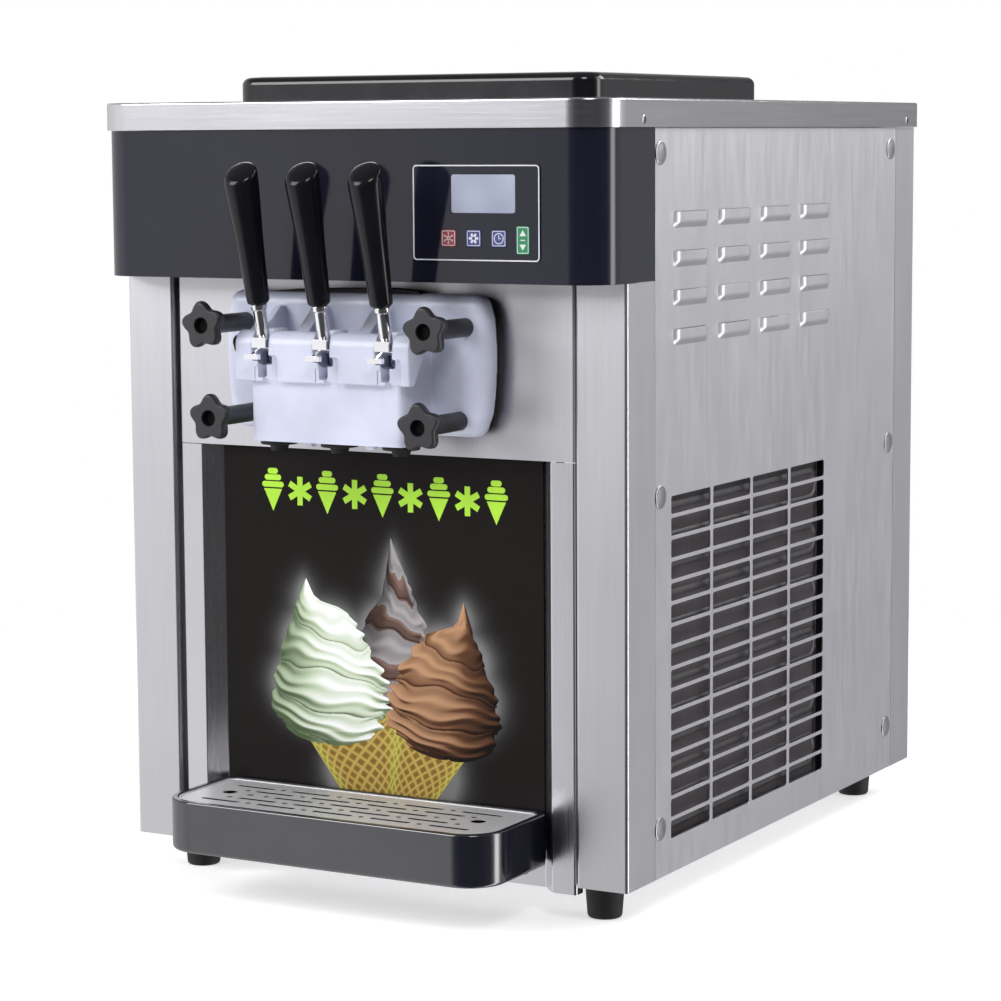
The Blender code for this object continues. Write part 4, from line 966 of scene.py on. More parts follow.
def head_joins(plate_front):
    """Ribs behind the barrel, and the small tabs under the block."""
    shoulder = [(back(-PIVOT_OUT) + 5 * MM, 522 * MM), (back(-PIVOT_OUT) + 5 * MM, PIVOT_Z + 10 * MM),
                (plate_front - 8 * MM, 551 * MM), (plate_front + 4 * MM, 551 * MM), (plate_front + 4 * MM, 522 * MM)]
    ribs = [prism(shoulder, "X", centre - half, centre + half)
            for centre, half in ((-32.25 * MM, 7 * MM), (32.25 * MM, 7 * MM), (-76 * MM, 3.5 * MM),
                                 (76 * MM, 3.5 * MM))]
    tabs = [box(x - 4.5 * MM, x + 4.5 * MM, back(-64 * MM), back(-56 * MM), BLOCK_LOW - 4 * MM, BLOCK_LOW + MM)
            for x in (-24 * MM, 41 * MM)]
    return [head_block(), barrel(), together(*ribs), together(*tabs)]


def head_cuts(plate_front):
    """Piston bores, the levers' slots, the pin's bore and the knobs' holes."""
    pivot_y = back(-PIVOT_OUT)
    bores, slots, narrow, over = [], [], [], []
    for x in flavour_xs():
        bores.append(rod(9.7 * MM, (x, back(-PISTON_OUT), 0), "Z", BLOCK_LOW - 5 * MM, 580 * MM, 40))
        slots.append(rod(18.3 * MM, (x, pivot_y, PIVOT_Z), "X", -8.6 * MM, 8.6 * MM, 48))
        narrow.append(box(x - 2.8 * MM, x + 2.8 * MM, back(SLAB_FRONT), pivot_y + 2 * MM, 489 * MM, PIVOT_Z))
        over.append(box(x - 8.2 * MM, x + 8.2 * MM, back(SLAB_FRONT), back(-PISTON_OUT), PIVOT_Z, 570 * MM))
    shelves = [box(x - 14.5 * MM, x + 14.5 * MM, back(-52 * MM), back(-38 * MM), 522 * MM, 527 * MM)
               for x in (-46 * MM, 18.5 * MM)]
    pin_bore = rod(PIN_BORE, (0, pivot_y, PIVOT_Z), "X", -100 * MM, 100 * MM)
    studs = [rod(5.4 * MM, (x, plate_front, z), "Y", -5 * MM, 40 * MM, 24)
             for x, _, z in (centre_of(node) for node in KNOB_PLACES)]
    return [together(*bores), together(*slots), together(*narrow), together(*over), together(*shelves), pin_bore,
            together(*studs)]


# x and z in mm and the turn in degrees that each knob was tightened to
KNOB_PLACES = {
    "knob_upper_left": (-116, 535.5, 98), "knob_upper_right": (116, 535.5, 97),
    "knob_lower_left": (-109.5, 452, 92), "knob_lower_right": (109.5, 452, 96),
}


def dispensing_head():
    """Cut from plain shapes, then melted into one moulding with soft corners."""
    plate_back, plate_front = back(-4.5 * MM), back(-PLATE_OUT)
    rings = [plate_ring(0, plate_back), plate_ring(0, plate_front + 11 * MM)]
    rings += [plate_ring(12 * MM * (1 - math.cos(a)), plate_front + 11 * MM * (1 - math.sin(a)))
              for a in quarter(10)[1:]]
    obj = make_object("dispensing_head_moulding", loft(rings))
    for mesh in head_joins(plate_front):
        apply_boolean(obj, mesh, "UNION")
    apply_boolean(obj, slab_gaps(), "DIFFERENCE")
    apply_boolean(obj, rod(BARREL_RADIUS, (0, back(-PIVOT_OUT), PIVOT_Z), "X", -BARREL_HALF, BARREL_HALF, 64),
                  "UNION")
    for mesh in head_cuts(plate_front):
        apply_boolean(obj, mesh, "DIFFERENCE")
    melt(obj, voxel=0.9 * MM, passes=4, keep=0.45)
    landings = [box(x - 6.2 * MM, x - 2.6 * MM, back(-80 * MM), back(-77.2 * MM), 484 * MM, 499 * MM)
                for x in flavour_xs()]
    piece("dispensing_head_moulding", "white", obj, cuts=[together(*landings)], stands_for=["dispensing_head"],
          angle=75)
    seal = loft([plate_ring(3.5 * MM, high("dispensing_head").y), plate_ring(3.5 * MM, back(-4.3 * MM))])
    piece("dispensing_head_seal", "rubber", seal, cuts=[head_cuts(plate_front)[0]])
    top = max(point.z for point in (obj.matrix_world @ vert.co for vert in obj.data.vertices))
    # A dark band along the head's top edge under the fascia, thin at both ends and thickest a little right of the
    # middle.
    dark_band = prism([(x * MM, top + z * MM) for x, z in ((-104, -1.5), (68, -1.5), (64, 2.2), (40, 4.2), (-20, 3.4),
                                                     (-70, 1.6))], "Y", back(-15 * MM), back(-4.6 * MM))
    piece("dispensing_head_dark_band", "rubber", dark_band, edge=0.8 * MM)


def pivot_pin():
    """A chrome pin whose knurled black head shows at the barrel's left end."""
    left = low("pivot_pin").x
    centre = (0, back(-PIVOT_OUT), PIVOT_Z)
    profile = mm(((5, 0), (6.8, 0.4), (7.8, 1.5), (8, 2.4), (8, 6.8), (7.4, 7.4), (4, 7.4)), left)
    profile.append((4 * MM, high("pivot_pin").x))
    piece("pivot_pin_turned", "chrome", turned(profile, centre, "X", 48), stands_for=["pivot_pin"])
    ring = mm(((8.02, 2.6), (8.35, 2.9), (8.35, 6.3), (8.02, 6.6)), left)
    piece("pivot_pin_ring", "satin_black", turned(ring, centre, "X", 48, looped=True))


HANDLE_FOOT = (79 * MM, 556 * MM)
HANDLE_TOP = (107.5 * MM, 680 * MM)
ROD_RADIUS = 4.8 * MM
TAIL_Z = PIVOT_Z - (PIVOT_OUT - PISTON_OUT) * math.tan(math.radians(20))
GRIP_PROFILE = [  # distance up the handle, radius, slant of the end
    (0, 7.8, 0), (0.4, 8.9, 0), (1.3, 9.9, 0), (3, 10.5, 0), (22, 11.1, 0), (42, 11.8, 0), (64, 12.9, 0.02),
    (86, 14.4, 0.05), (98, 15.2, 0.14), (108, 15.75, 0.25), (113, 15.8, 0.34), (115.5, 15.7, 0.38),
    (118, 15.2, 0.41), (119.8, 14.3, 0.43), (121.2, 12.6, 0.44), (122.2, 9.5, 0.45), (122.7, 5, 0.45),
    (122.8, 2, 0.45),
]


def handle_frame(x):
    """The foot of a handle's axis, the way up it, and the way square to it towards the rear."""
    foot = Vector((x, back(-HANDLE_FOOT[0]), HANDLE_FOOT[1]))
    up = (Vector((x, back(-HANDLE_TOP[0]), HANDLE_TOP[1])) - foot).normalized()
    return foot, up, Vector((0, up.z, -up.y))


def handle_ring(x, distance, radius, slant=0, steps=32, depth=1.0):
    """A ring round the handle's leaning axis, tipped towards the front where it slants."""
    foot, up, rearward = handle_frame(x)
    ring = []
    for i in range(steps):
        angle = 2 * math.pi * i / steps
        across, behind = radius * math.cos(angle), radius * depth * math.sin(angle)
        ring.append(foot + up * (distance + slant * behind) + Vector((across, 0, 0)) + rearward * behind)
    return ring


STEM_PROFILE = (  # distance up the handle (0 is its foot in the boss), radius, in mm
    (0, 5.6), (-6.2, 6.0), (-5.7, 6.2), (-5.2, 6.9), (-4.5, 7.5), (-1.2, 7.5), (-0.5, 7.1), (-0.35, 4.8),
    (26, 4.8),
)


def lever(name, x):
    """Chrome: a hub on the pin, a square boss, the stem with its collar, and an arm with a stop bar."""
    pivot = (x, back(-PIVOT_OUT), PIVOT_Z)
    boss = box(x - 7.4 * MM, x + 7.4 * MM, back(-80.5 * MM), pivot[1], 516 * MM, 525 * MM)
    foot, up, _ = handle_frame(x)
    start = (Vector((x, back(-75.5 * MM), 519.5 * MM)) - foot).dot(up)
    stem = loft([handle_ring(x, d * MM if d else start, r * MM) for d, r in STEM_PROFILE])
    arm = prism([(back(-78 * MM), 519 * MM), (back(-80.5 * MM), 515.5 * MM), (back(-92.5 * MM), 510 * MM),
                 (back(-92.5 * MM), 507 * MM), (back(-74 * MM), 512 * MM)], "X", x - 1.5 * MM, x + 1.5 * MM)
    stop = box(x - 5.2 * MM, x + 9.5 * MM, back(-96 * MM), back(-91.5 * MM), 506.6 * MM, 511.2 * MM)
    tail = prism([(pivot[1], PIVOT_Z + 3 * MM), (pivot[1], PIVOT_Z - 3.5 * MM)]
                 + arc(back(-PISTON_OUT), TAIL_Z, 2.8 * MM, -110, 70, 12), "X", x - 2.2 * MM, x + 2.2 * MM)
    piece(f"lever_{name}_chrome", "chrome", rod(6.6 * MM, pivot, "X", -7.4 * MM, 7.4 * MM, 40),
          body=f"handle_{name}", joins=[boss, stem, arm, stop, tail],
          cuts=[rod(PIN_BORE, pivot, "X", -9 * MM, 9 * MM)], stands_for=[f"lever_{name}"], edge=0.5 * MM)


def grip(name, x):
    """A gloss black grip, a little deeper than it is wide, with a slanted round top."""
    rings = [handle_ring(x, d * MM, r * MM, slant, 48, 0.97) for d, r, slant in GRIP_PROFILE]
    socket = loft([handle_ring(x, d, ROD_RADIUS + 0.4 * MM) for d in (-5 * MM, 28 * MM)])
    piece(f"grip_{name}_moulding", "grip_black", loft(rings), body=f"handle_{name}", cuts=[socket],
          stands_for=[f"grip_{name}"], angle=60)


def piston(name, x):
    """A white plunger with the notch that the lever's tail works in, and two seal grooves."""
    corner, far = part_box(f"piston_{name}")
    axis_y = centre_of(f"piston_{name}")[1]
    radius = (far.x - corner.x) / 2
    profile = [(7 * MM, corner.z), (8.2 * MM, corner.z + 0.6 * MM), (radius, corner.z + 2 * MM)]
    for z in (450 * MM, 462 * MM):
        profile += [(radius, z), (7.6 * MM, z + 0.4 * MM), (7.6 * MM, z + 2.6 * MM), (radius, z + 3 * MM)]
    profile += [(radius, far.z - 2 * MM), (8.2 * MM, far.z - 0.6 * MM), (7 * MM, far.z)]
    mouth, throat = 9 * MM, 3.6 * MM
    notch = prism([(axis_y - 12 * MM, TAIL_Z - mouth), (axis_y, TAIL_Z - throat),
                   (axis_y + 5 * MM, TAIL_Z - throat), (axis_y + 5 * MM, TAIL_Z + throat),
                   (axis_y, TAIL_Z + throat), (axis_y - 12 * MM, TAIL_Z + mouth)],
                  "X", x - 2.8 * MM, x + 2.8 * MM)
    piece(f"piston_{name}_turned", "white", turned(profile, (x, axis_y, 0), "Z", 40),
          body=f"plunger_{name}", cuts=[notch], stands_for=[f"piston_{name}"])


def nozzle(name, x):
    """A dark cap whose outlet is a six-pointed star."""
    profile = mm(((16.6, 0), (17, -0.4), (17, -3.2), (16.4, -3.8), (9.4, -4.6), (8.6, -5.6)), BLOCK_LOW - GAP)
    profile += mm(((7.8, 422), (7.4, 421)))
    axis = (x, back(-PISTON_OUT), 0)
    star = []
    for i in range(60):
        angle = 2 * math.pi * i / 60
        reach = 4.6 * MM + 1.1 * MM * math.cos(6 * angle)
        star.append((axis[0] + reach * math.cos(angle), axis[1] + reach * math.sin(angle)))
    piece(f"nozzle_{name}_cap", "rubber", turned(list(reversed(profile)), axis, "Z", 48),
          cuts=[prism(star, "Z", 410 * MM, 440 * MM)], stands_for=[f"nozzle_{name}"])


KNOB_LOBES = 5
KNOB_STEPS = 100


def lobed_outline(radius, turn):
    """A star grip's outline: round lobes with hollows between them."""
    points = []
    for i in range(KNOB_STEPS):
        angle = 2 * math.pi * i / KNOB_STEPS
        reach = radius * (0.875 + 0.125 * math.cos(KNOB_LOBES * (angle - turn)))
        points.append((reach * math.cos(angle), reach * math.sin(angle)))
    return points


# distance behind the knob's face, radius over the lobes, in mm
KNOB_SECTION = ((0, 18.9), (0.35, 20.2), (1.1, 21.2), (2.3, 21.8), (3.6, 22), (7.2, 22), (8.6, 21.5), (9.6, 20.3),
                (10.0, 18.7))


def knobs():
    """Star knobs with a hollow centre, on dark sleeves, each turned to its own stop."""
    for node, (x_mm, z_mm, turn) in KNOB_PLACES.items():
        x, z, face = x_mm * MM, z_mm * MM, low(node).y
        centre = (x, face, z)
        rings = [[(x + u, face + y * MM, z + v) for u, v in lobed_outline(radius * MM, math.radians(turn))]
                 for y, radius in KNOB_SECTION]
        sleeve_end = back(-PLATE_OUT) - face - GAP
        sleeve = turned(mm(((10.2, 9), (9.4, 12.5), (8.5, 15))) + [(8.5 * MM, sleeve_end)], centre, "Y", 36)
        hollow = turned(mm(((7.8, -1), (7.4, 0.5), (7.2, 1.2), (7.2, 7))), centre, "Y", 36)
        stud = rod(4.6 * MM, centre, "Y", 60 * MM, sleeve_end + 24 * MM, 24)
        piece(f"{node}_moulding", "knob", loft(rings), body=node, joins=[sleeve, stud], cuts=[hollow],
              stands_for=[node], angle=50)
        # A real plug sits in the hollow, but its near-black, barely reflecting finish is painted shade.
        plug = turned(mm(((7.15, 7), (7.15, 1.6), (6.6, 1.9), (5.4, 5.2), (0.4, 5.4))), centre, "Y", 32)
        piece(f"{node}_plug", "plug", plug, body=node)


# ---------------------------------------------------------------- lid and the inside seen from outside


def hopper_lid():
    corner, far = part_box("hopper_lid")

    def ring(inset, z):
        outline = rounded_rectangle(corner.x + inset, far.x - inset, corner.y + inset, far.y - inset,
                                    22 * MM - min(inset, 14 * MM), 14)
        return [(x, y, z) for x, y in outline]

    rings = [ring(0, corner.z)]
    rings += [ring(8 * MM * (1 - math.cos(a)), far.z - 0.6 * MM - 7.4 * MM * (1 - math.sin(a)))
              for a in quarter(8)]
    rings.append(ring(16 * MM, far.z))
    inside = loft([ring(3 * MM, corner.z - MM), ring(3.5 * MM, 757.5 * MM)])
    piece("hopper_lid_moulding", "gloss_black", loft(rings), body="lid", cuts=[inside],
          stands_for=["hopper_lid"], angle=45)


def hairpin(start, rise, radius, way):
    """A half ring of tube that joins one pass to the next one up."""
    x, y, z = start
    reach, rings = rise / 2, []
    for i in range(13):
        angle = math.pi * i / 12
        centre = Vector((x, y + way * min(reach, 12.5 * MM) * math.sin(angle), z + reach - reach * math.cos(angle)))
        outward = Vector((0, way * math.sin(angle), -math.cos(angle)))
        rings.append([centre + outward * radius * math.cos(t) + Vector((radius * math.sin(t), 0, 0))
                      for t in (2 * math.pi * k / 16 for k in range(16))])
    return loft(rings)


SHROUD_LOW = 42 * MM
SHROUD_HIGH = 402 * MM
SHROUD_END = 450 * MM  # behind the posts' front face


def condenser():
    """Thin upright fins with grey tubes and bends, in a bent frame with the fan's shroud behind it."""
    corner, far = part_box("condenser")
    pitch, rows = 2.6 * MM, 12
    count = int((far.y - corner.y - 6 * MM) / pitch)
    fins = []
    for i in range(count):
        y = corner.y + 3 * MM + pitch * (i + 0.5)
        fins.append(box(corner.x + MM, far.x - 1.2 * MM, y - 0.16 * MM, y + 0.16 * MM,
                        corner.z + 3 * MM, far.z - 3 * MM))
    piece("condenser_fins", "fin", together(*fins))
    step = (far.z - corner.z) / rows
    x, radius = far.x - 5.4 * MM, 5.2 * MM
    start_y, end_y = corner.y + 14 * MM, far.y - 14 * MM
    tubes, bends = [], []
    for row in range(rows):
        z = corner.z + step * (row + 0.5)
        tubes.append(rod(radius, (x, 0, z), "Y", start_y, end_y, 20))
        if row % 2 == 0:
            bends.append(hairpin((x, end_y, z), step, radius, 1))
        elif row < rows - 1:
            bends.append(hairpin((x, start_y, z), step, radius, -1))
    piece("condenser_tubes", "tube", together(*tubes))
    piece("condenser_bends", "tube", together(*bends))
    ends = [box(corner.x, far.x, y, y + SHEET, corner.z, far.z) for y in (corner.y, far.y - SHEET)]
    ends += [box(corner.x, far.x, corner.y, far.y, z, z + SHEET) for z in (corner.z, far.z - SHEET)]
    sheets = make_object("condenser_frame", ends[0])
    for mesh in ends[1:]:
        apply_boolean(sheets, mesh, "UNION")
    piece("condenser_frame", "alloy", sheets, stands_for=["condenser"])
    opening_radius = (high("condenser_fan").z - low("condenser_fan").z) / 2 + 5 * MM
    opening = rod(opening_radius, centre_of("condenser_fan"), "X", -40 * MM, 60 * MM, 64)
    shroud = box(corner.x - 5.5 * MM, corner.x - 0.5 * MM, corner.y - 2 * MM, back(SHROUD_END),
                 SHROUD_LOW, SHROUD_HIGH)
    baffle = box(corner.x - 5 * MM, HALF_WIDTH - 3 * MM, back(SHROUD_END - 2 * MM), back(SHROUD_END),
                 SHROUD_LOW, SHROUD_HIGH)
    piece("condenser_shroud", "paint", shroud, cuts=[opening], joins=[baffle])


# ---------------------------------------------------------------- poster


POSTER_RELIEF = 0.7 * MM


def mix(first, second, share):
    return tuple(a + (b - a) * share for a, b in zip(first, second))


def paint(obj, colours):
    """Stores one colour for each vertex, for the printed finish to show."""
    attribute = obj.data.color_attributes.new("print", "FLOAT_COLOR", "POINT")
    attribute.data.foreach_set("color", [channel for colour in colours for channel in (*colour, 1.0)])


def print_surface(name, grid, light, tone, near, far_off):
    """Flattens a modelled shape into a print on the poster.

    grid holds rows of points (x, z, towards the viewer). Each point is coloured from the full
    shape's slope by tone(slope, i, j), and then pressed flat between two depths of the relief.
    """
    rows, columns = len(grid), len(grid[0])
    depths = [point[2] for row in grid for point in row]
    shallow, deep = min(depths), max(depths)
    shape = bmesh.new()
    verts = [[shape.verts.new((p[0], -p[2], p[1])) for p in row] for row in grid]
    for below, above in zip(verts, verts[1:]):
        for i in range(columns - 1):
            quad(shape, below, above, i, i + 1)
    shape.normal_update()
    poster_face = low("poster_panel").y
    colours = [tone(vert.normal.dot(light), i / columns, j / rows)
               for j, row in enumerate(verts) for i, vert in enumerate(row)]
    for row in verts:
        for vert in row:
            share = (-vert.co.y - shallow) / (deep - shallow)
            vert.co.y = poster_face - POSTER_RELIEF * (near + (far_off - near) * share)
    obj = piece(name, "print", shape, angle=180)
    paint(obj, colours)


def swirl_edges(outline, z):
    """The left and right edge of a swirl at a height, from its rows of (height, left, right)."""
    for (start, left, right), (end, next_left, next_right) in zip(outline, outline[1:]):
        if z <= end:
            share = (z - start) / (end - start)
            return left + (next_left - left) * share, right + (next_right - right) * share
    return outline[-1][1:]


def strand(s, t, turns):
    """A place's bearing on the swirl, and how far along the wound rope it is, in turns."""
    bearing = math.pi * (s - 0.5)
    drift = 0.11 * math.sin(2.6 * bearing + 11 * t) + 0.05 * math.sin(6.1 * bearing - 17 * t)
    return bearing, turns * (1.3 * t - 0.3 * t * t) + 1.5 * bearing / (2 * math.pi) + drift


def swirl_grid(outline, turns, peaks):
    """The near half of a soft serve swirl: ridged folds with peaks down the side named by peaks, 1 or -1."""
    rows, columns = 240, 90
    foot, head = outline[0][0], outline[-1][0]
    grid = []
    for j in range(rows + 1):
        t = j / rows
        left, right = swirl_edges(outline, foot + (head - foot) * t)
        middle, half = (left + right) / 2, (right - left) / 2
        fade = min(1, half / 20)
        row = []
        for i in range(columns + 1):
            bearing, fold = strand(i / columns, t, turns)
            share = fold % 1
            bulge = math.sin(math.pi * share ** 0.75) ** 0.6
            ridge = math.cos(2 * math.pi * 3 * share ** 1.1)
            edge = ease((math.sin(bearing) * peaks - 0.5) / 0.5)
            radius = half * (1 + fade * (0.13 * bulge - 0.13 + (0.022 + 0.045 * edge) * ridge))
            sag = (head - foot) * 0.08 * (1 - t) ** 2 * math.cos(bearing) + fade * 2.5 * bulge
            row.append(((middle + radius * math.sin(bearing)) * MM, (foot + (head - foot) * t - sag) * MM,
                        radius * math.cos(bearing) * MM))
        grid.append(row)
    return grid


def swirl(name, outline, turns, peaks, tones, light, near, far_off, partner=None):
    """tones are the shadow, middle and bright colours; partner those of a second flavour in the rope."""
    def tone(slope, s, t):
        bearing, fold = strand(s, t, turns)
        share = fold % 1
        fade = 1 - ease((t - 0.82) / 0.12)
        crease = 1 - 0.70 * fade * math.exp(-(min(share, 1.12 - share) / 0.12) ** 1.3)
        ridge = 1 - 0.22 * fade * (0.5 - 0.5 * math.cos(2 * math.pi * 3 * share ** 1.1))
        away = 1 - 0.42 * ease((-math.sin(bearing) * peaks - 0.05) / 0.95)
        level = ease(0.36 + 0.66 * slope) * crease * ridge * away
        second = partner and (0.40 < share < 0.95 or bearing > 0.9)
        shadow, middle, bright = partner if second else tones
        if level < 0.5:
            return mix(shadow, middle, level * 2)
        return mix(middle, bright, level * 2 - 1)
    print_surface(name, swirl_grid(outline, turns, peaks), Vector(light).normalized(), tone, near, far_off)


WHITE_OUTLINE = (
    (150, -100, -20), (154, -110, -8), (162, -118, 2), (178, -122, 9), (192, -120, 10), (212, -115, 3),
    (232, -108, -9), (250, -101, -22), (262, -97, -31), (269, -94, -44), (273, -92, -63), (279, -89, -73),
    (293, -81.5, -80.5),
)
CHOCOLATE_OUTLINE = (
    (146, 36, 108), (150, 22, 118), (158, 12, 124), (172, 7, 127), (188, 8, 126), (205, 13, 121), (225, 25, 113),
    (240, 37, 106), (250, 47, 101), (256, 59, 99), (260, 78, 97), (265, 83, 95), (281, 88.7, 89.7),
)
TWIST_OUTLINE = (
    (186, -28, 60), (196, -34, 62), (215, -34, 60), (232, -28, 54), (246, -22, 52), (258, -19, 49), (268, -13, 45),
    (276, -4, 41), (286, 2, 36), (305, 6, 27), (320, 9, 19), (336, 11.2, 12.2),
)


def cone_print(name, top_left, top_right, foot_left, foot_right, near, far_off):
    """A waffle cone from its corners in mm: two families of slanting ridges, with paler rolled sides."""
    top_left, top_right, foot_left, foot_right = (
        Vector(corner) for corner in mm((top_left, top_right, foot_left, foot_right)))
    across, up = 110, 110
    grid = []
    for j in range(up + 1):
        t = j / up
        left, right = foot_left.lerp(top_left, t), foot_right.lerp(top_right, t)
        row = []
        for i in range(across + 1):
            s = i / across
            point = left.lerp(right, s)
            bulge = math.sqrt(max(1 - (2 * s - 1) ** 2, 0))
            row.append((point.x, point.y, bulge * (right - left).length / 2))
        grid.append(row)

    def tone(_, s, t):
        around = math.asin(min(max(2 * s - 1, -1), 1)) / math.pi
        height = t * 8.5
        first = abs(((around * 9 + height) % 1) - 0.5) * 2
        second = abs(((around * 9 - height) % 1) - 0.5) * 2
        ridge = ease((max(first, second) - 0.45) / 0.5)
        toast = mix((0.24, 0.135, 0.030), (0.55, 0.40, 0.10), ridge)
        edge = ease((abs(2 * s - 1) - 0.62) / 0.38)
        return mix(toast, (0.58, 0.60, 0.11), edge * (0.30 + 0.45 * ridge))

    print_surface(name, grid, Vector((0, -1, 0)), tone, near, far_off)


GLOW_BODIES = (  # centre x and z, half width and half height of what the halo surrounds
    (-56, 192, 60, 40), (-62, 232, 42, 34), (-84, 272, 5, 16), (67, 190, 54, 40), (72, 226, 40, 28),
    (89, 262, 5, 14), (12, 240, 34, 34), (14, 290, 8, 34), (-22, 118, 36, 40), (44, 118, 36, 40),
)


def halo(x, z):
    """How bright the pale haze round the cones is at a place on the poster, 0 to 1."""
    reach = 0.0
    for centre_x, centre_z, half_x, half_z in GLOW_BODIES:
        u, v = x / MM - centre_x, z / MM - centre_z
        size = math.hypot(u / half_x, v / half_z)
        distance = (size - 1) * math.hypot(u, v) / size if size > 1 else 0
        reach += math.exp(-(distance / 12) ** 1.3 * 1.2) ** 4
    return min(reach ** 0.25, 1.0) ** 1.2


POSTER_GROUND = (0.009, 0.007, 0.0065)
POSTER_HAZE = (0.19, 0.19, 0.195)
WHITE_TONES = ((0.07, 0.11, 0.05), (0.50, 0.60, 0.42), (1.0, 1.0, 1.0))
CHOCOLATE_TONES = ((0.006, 0.003, 0.002), (0.12, 0.050, 0.024), (0.50, 0.28, 0.155))
TWIST_TONES = ((0.010, 0.006, 0.005), (0.07, 0.038, 0.030), (0.22, 0.14, 0.115))
TWIST_PARTNER_TONES = ((0.03, 0.027, 0.03), (0.13, 0.12, 0.125), (0.38, 0.36, 0.37))


def poster():
    """A near-black sheet with a haze behind three soft serve cones and a row of green emblems."""
    corner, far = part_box("poster_panel")
    across, up = 114, 118
    sheet = bmesh.new()
    verts = [[sheet.verts.new((corner.x + (far.x - corner.x) * i / across, corner.y,
                               corner.z + (far.z - corner.z) * j / up))
              for i in range(across + 1)] for j in range(up + 1)]
    for below, above in zip(verts, verts[1:]):
        for i in range(across):
            quad(sheet, below, above, i, i + 1)
    glow = [halo(v.co.x, v.co.z) for row in verts for v in row]
    made = bmesh.ops.extrude_face_region(sheet, geom=list(sheet.faces))
    behind = [v for v in made["geom"] if isinstance(v, bmesh.types.BMVert)]
    bmesh.ops.translate(sheet, verts=behind, vec=(0, far.y - corner.y, 0))
    bmesh.ops.recalc_face_normals(sheet, faces=sheet.faces)
    sheet.verts.ensure_lookup_table()
    colours = [mix(POSTER_GROUND, POSTER_HAZE, share) for share in glow]
    colours += [POSTER_GROUND] * (len(sheet.verts) - len(glow))
    board = piece("poster_board", "print", sheet, stands_for=["poster_panel"])
    paint(board, colours)

    cone_print("poster_cone_middle", (-34, 182), (62, 182), (-2, 62), (24, 62), 0.02, 0.18)
    cone_print("poster_cone_left", (-84, 146), (18, 166), (-20, 62), (12, 62), 0.2, 0.4)
    cone_print("poster_cone_right", (16, 160), (100, 150), (4, 62), (33, 62), 0.22, 0.42)
    swirl("poster_swirl_twist", TWIST_OUTLINE, 4.0, 1, TWIST_TONES, (0.4, -0.7, 0.6), 0.1, 0.4,
          TWIST_PARTNER_TONES)
    swirl("poster_swirl_white", WHITE_OUTLINE, 4.2, 1, WHITE_TONES, (0.65, -0.6, 0.55), 0.42, 1.0)
    swirl("poster_swirl_chocolate", CHOCOLATE_OUTLINE, 4.2, -1, CHOCOLATE_TONES, (-0.5, -0.6, 0.6), 0.42, 1.0)
    emblems()


def emblems():
    """A row of generic green emblems: little cones and snow stars, taking turns."""
    y = low("poster_panel").y
    count, pitch, middle_z = 9, 30 * MM, 375 * MM
    front_y, rear_y = y - 0.12 * MM, y + 0.05 * MM
    shapes = []
    for i in range(count):
        x = (i - (count - 1) / 2) * pitch + 3.5 * MM
        if i % 2 == 0:
            shapes.append(prism([(x, middle_z - 20 * MM), (x + 10 * MM, middle_z + 1 * MM),
                                 (x - 10 * MM, middle_z + 1 * MM)], "Y", front_y, rear_y))
            for half, z in ((12, 2.4), (9.2, 9), (5.6, 15)):
                outline = rounded_rectangle(x - half * MM, x + half * MM, middle_z + z * MM,
                                            middle_z + (z + 5.4) * MM, 2.6 * MM)
                shapes.append(prism(outline, "Y", front_y, rear_y))
        else:
            for k in range(3):
                spoke = stroke(x, middle_z, math.pi / 6 + k * math.pi / 3, -13.5 * MM, 13.5 * MM, 5.8 * MM)
                shapes.append(prism(spoke, "Y", y - (0.12 + 0.01 * k) * MM, rear_y))
    piece("poster_emblems", "lime", together(*shapes))


# ---------------------------------------------------------------- kept CAD nodes


KEPT = {
    "base_pan": "sheet", "power_inlet": "satin_black",
    "hopper_left": "steel_level", "hopper_right": "steel_level",
    "freezing_cylinder_left": "insulation", "freezing_cylinder_right": "insulation",
    "beater_left": "steel_level", "beater_right": "steel_level",
    "gearbox": "alloy", "gearbox_pulley": "alloy", "motor_pulley": "alloy", "drive_belt": "rubber",
    "drive_motor": "paint", "compressor": "paint", "fan_motor": "paint", "condenser_fan": "satin_black",
}


# ---------------------------------------------------------------- stage, light and camera


FLOOR_RADIUS = 1.5
FLOOR_GLOW = 0.55


def floor():
    """A small pale studio floor, which fades to the white of the background."""
    mesh = bmesh.new()
    around = 64
    rings = []
    for radius in (0.35, 0.6, 0.8, 1.0, FLOOR_RADIUS):
        rings.append([mesh.verts.new((radius * math.cos(2 * math.pi * i / around),
                                      radius * math.sin(2 * math.pi * i / around), 0)) for i in range(around)])
    mesh.faces.new(rings[0])
    for inner, outer in zip(rings, rings[1:]):
        for i in range(around):
            k = (i + 1) % around
            mesh.faces.new((inner[i], outer[i], outer[k], inner[k]))
    obj = make_object("studio_floor", mesh)
    look = Finish("studio_floor")
    look.colour(look.mixed(look.spread(look.noise(1.2), 0, 1), (0.86, 0.86, 0.865), (0.88, 0.88, 0.885)))
    look.roughness(look.spread(look.noise(3.0), 0.6, 0.75))
    look.shader.inputs["Emission Color"].default_value = (1.0, 1.0, 1.0, 1.0)
    look.shader.inputs["Emission Strength"].default_value = FLOOR_GLOW
    obj.data.materials.append(look.material)
    obj.visible_glossy = False


# The studio seen from the machine, going round from the back over its left, front and right
# sides: bearing in degrees (0 in front, 90 to the machine's right), brightness
STUDIO = (
    (-180, 0.30), (-150, 0.45), (-110, 0.80), (-60, 1.05), (-38, 0.90), (-34, 1.12), (-31, 1.0), (-28, 0.76),
    (-24, 0.55), (-16, 0.16), (0, 0.06), (60, 0.06), (90, 0.12), (101, 0.7), (106, 5.5), (115, 5.5), (123, 0.7),
    (138, 0.56), (152, 0.50), (157, 0.36), (161, 0.24), (180, 0.30),
)
STUDIO_TOP = 0.22
STUDIO_LOW_SHARE = 1.15
STUDIO_BRIGHTEST = 6.0


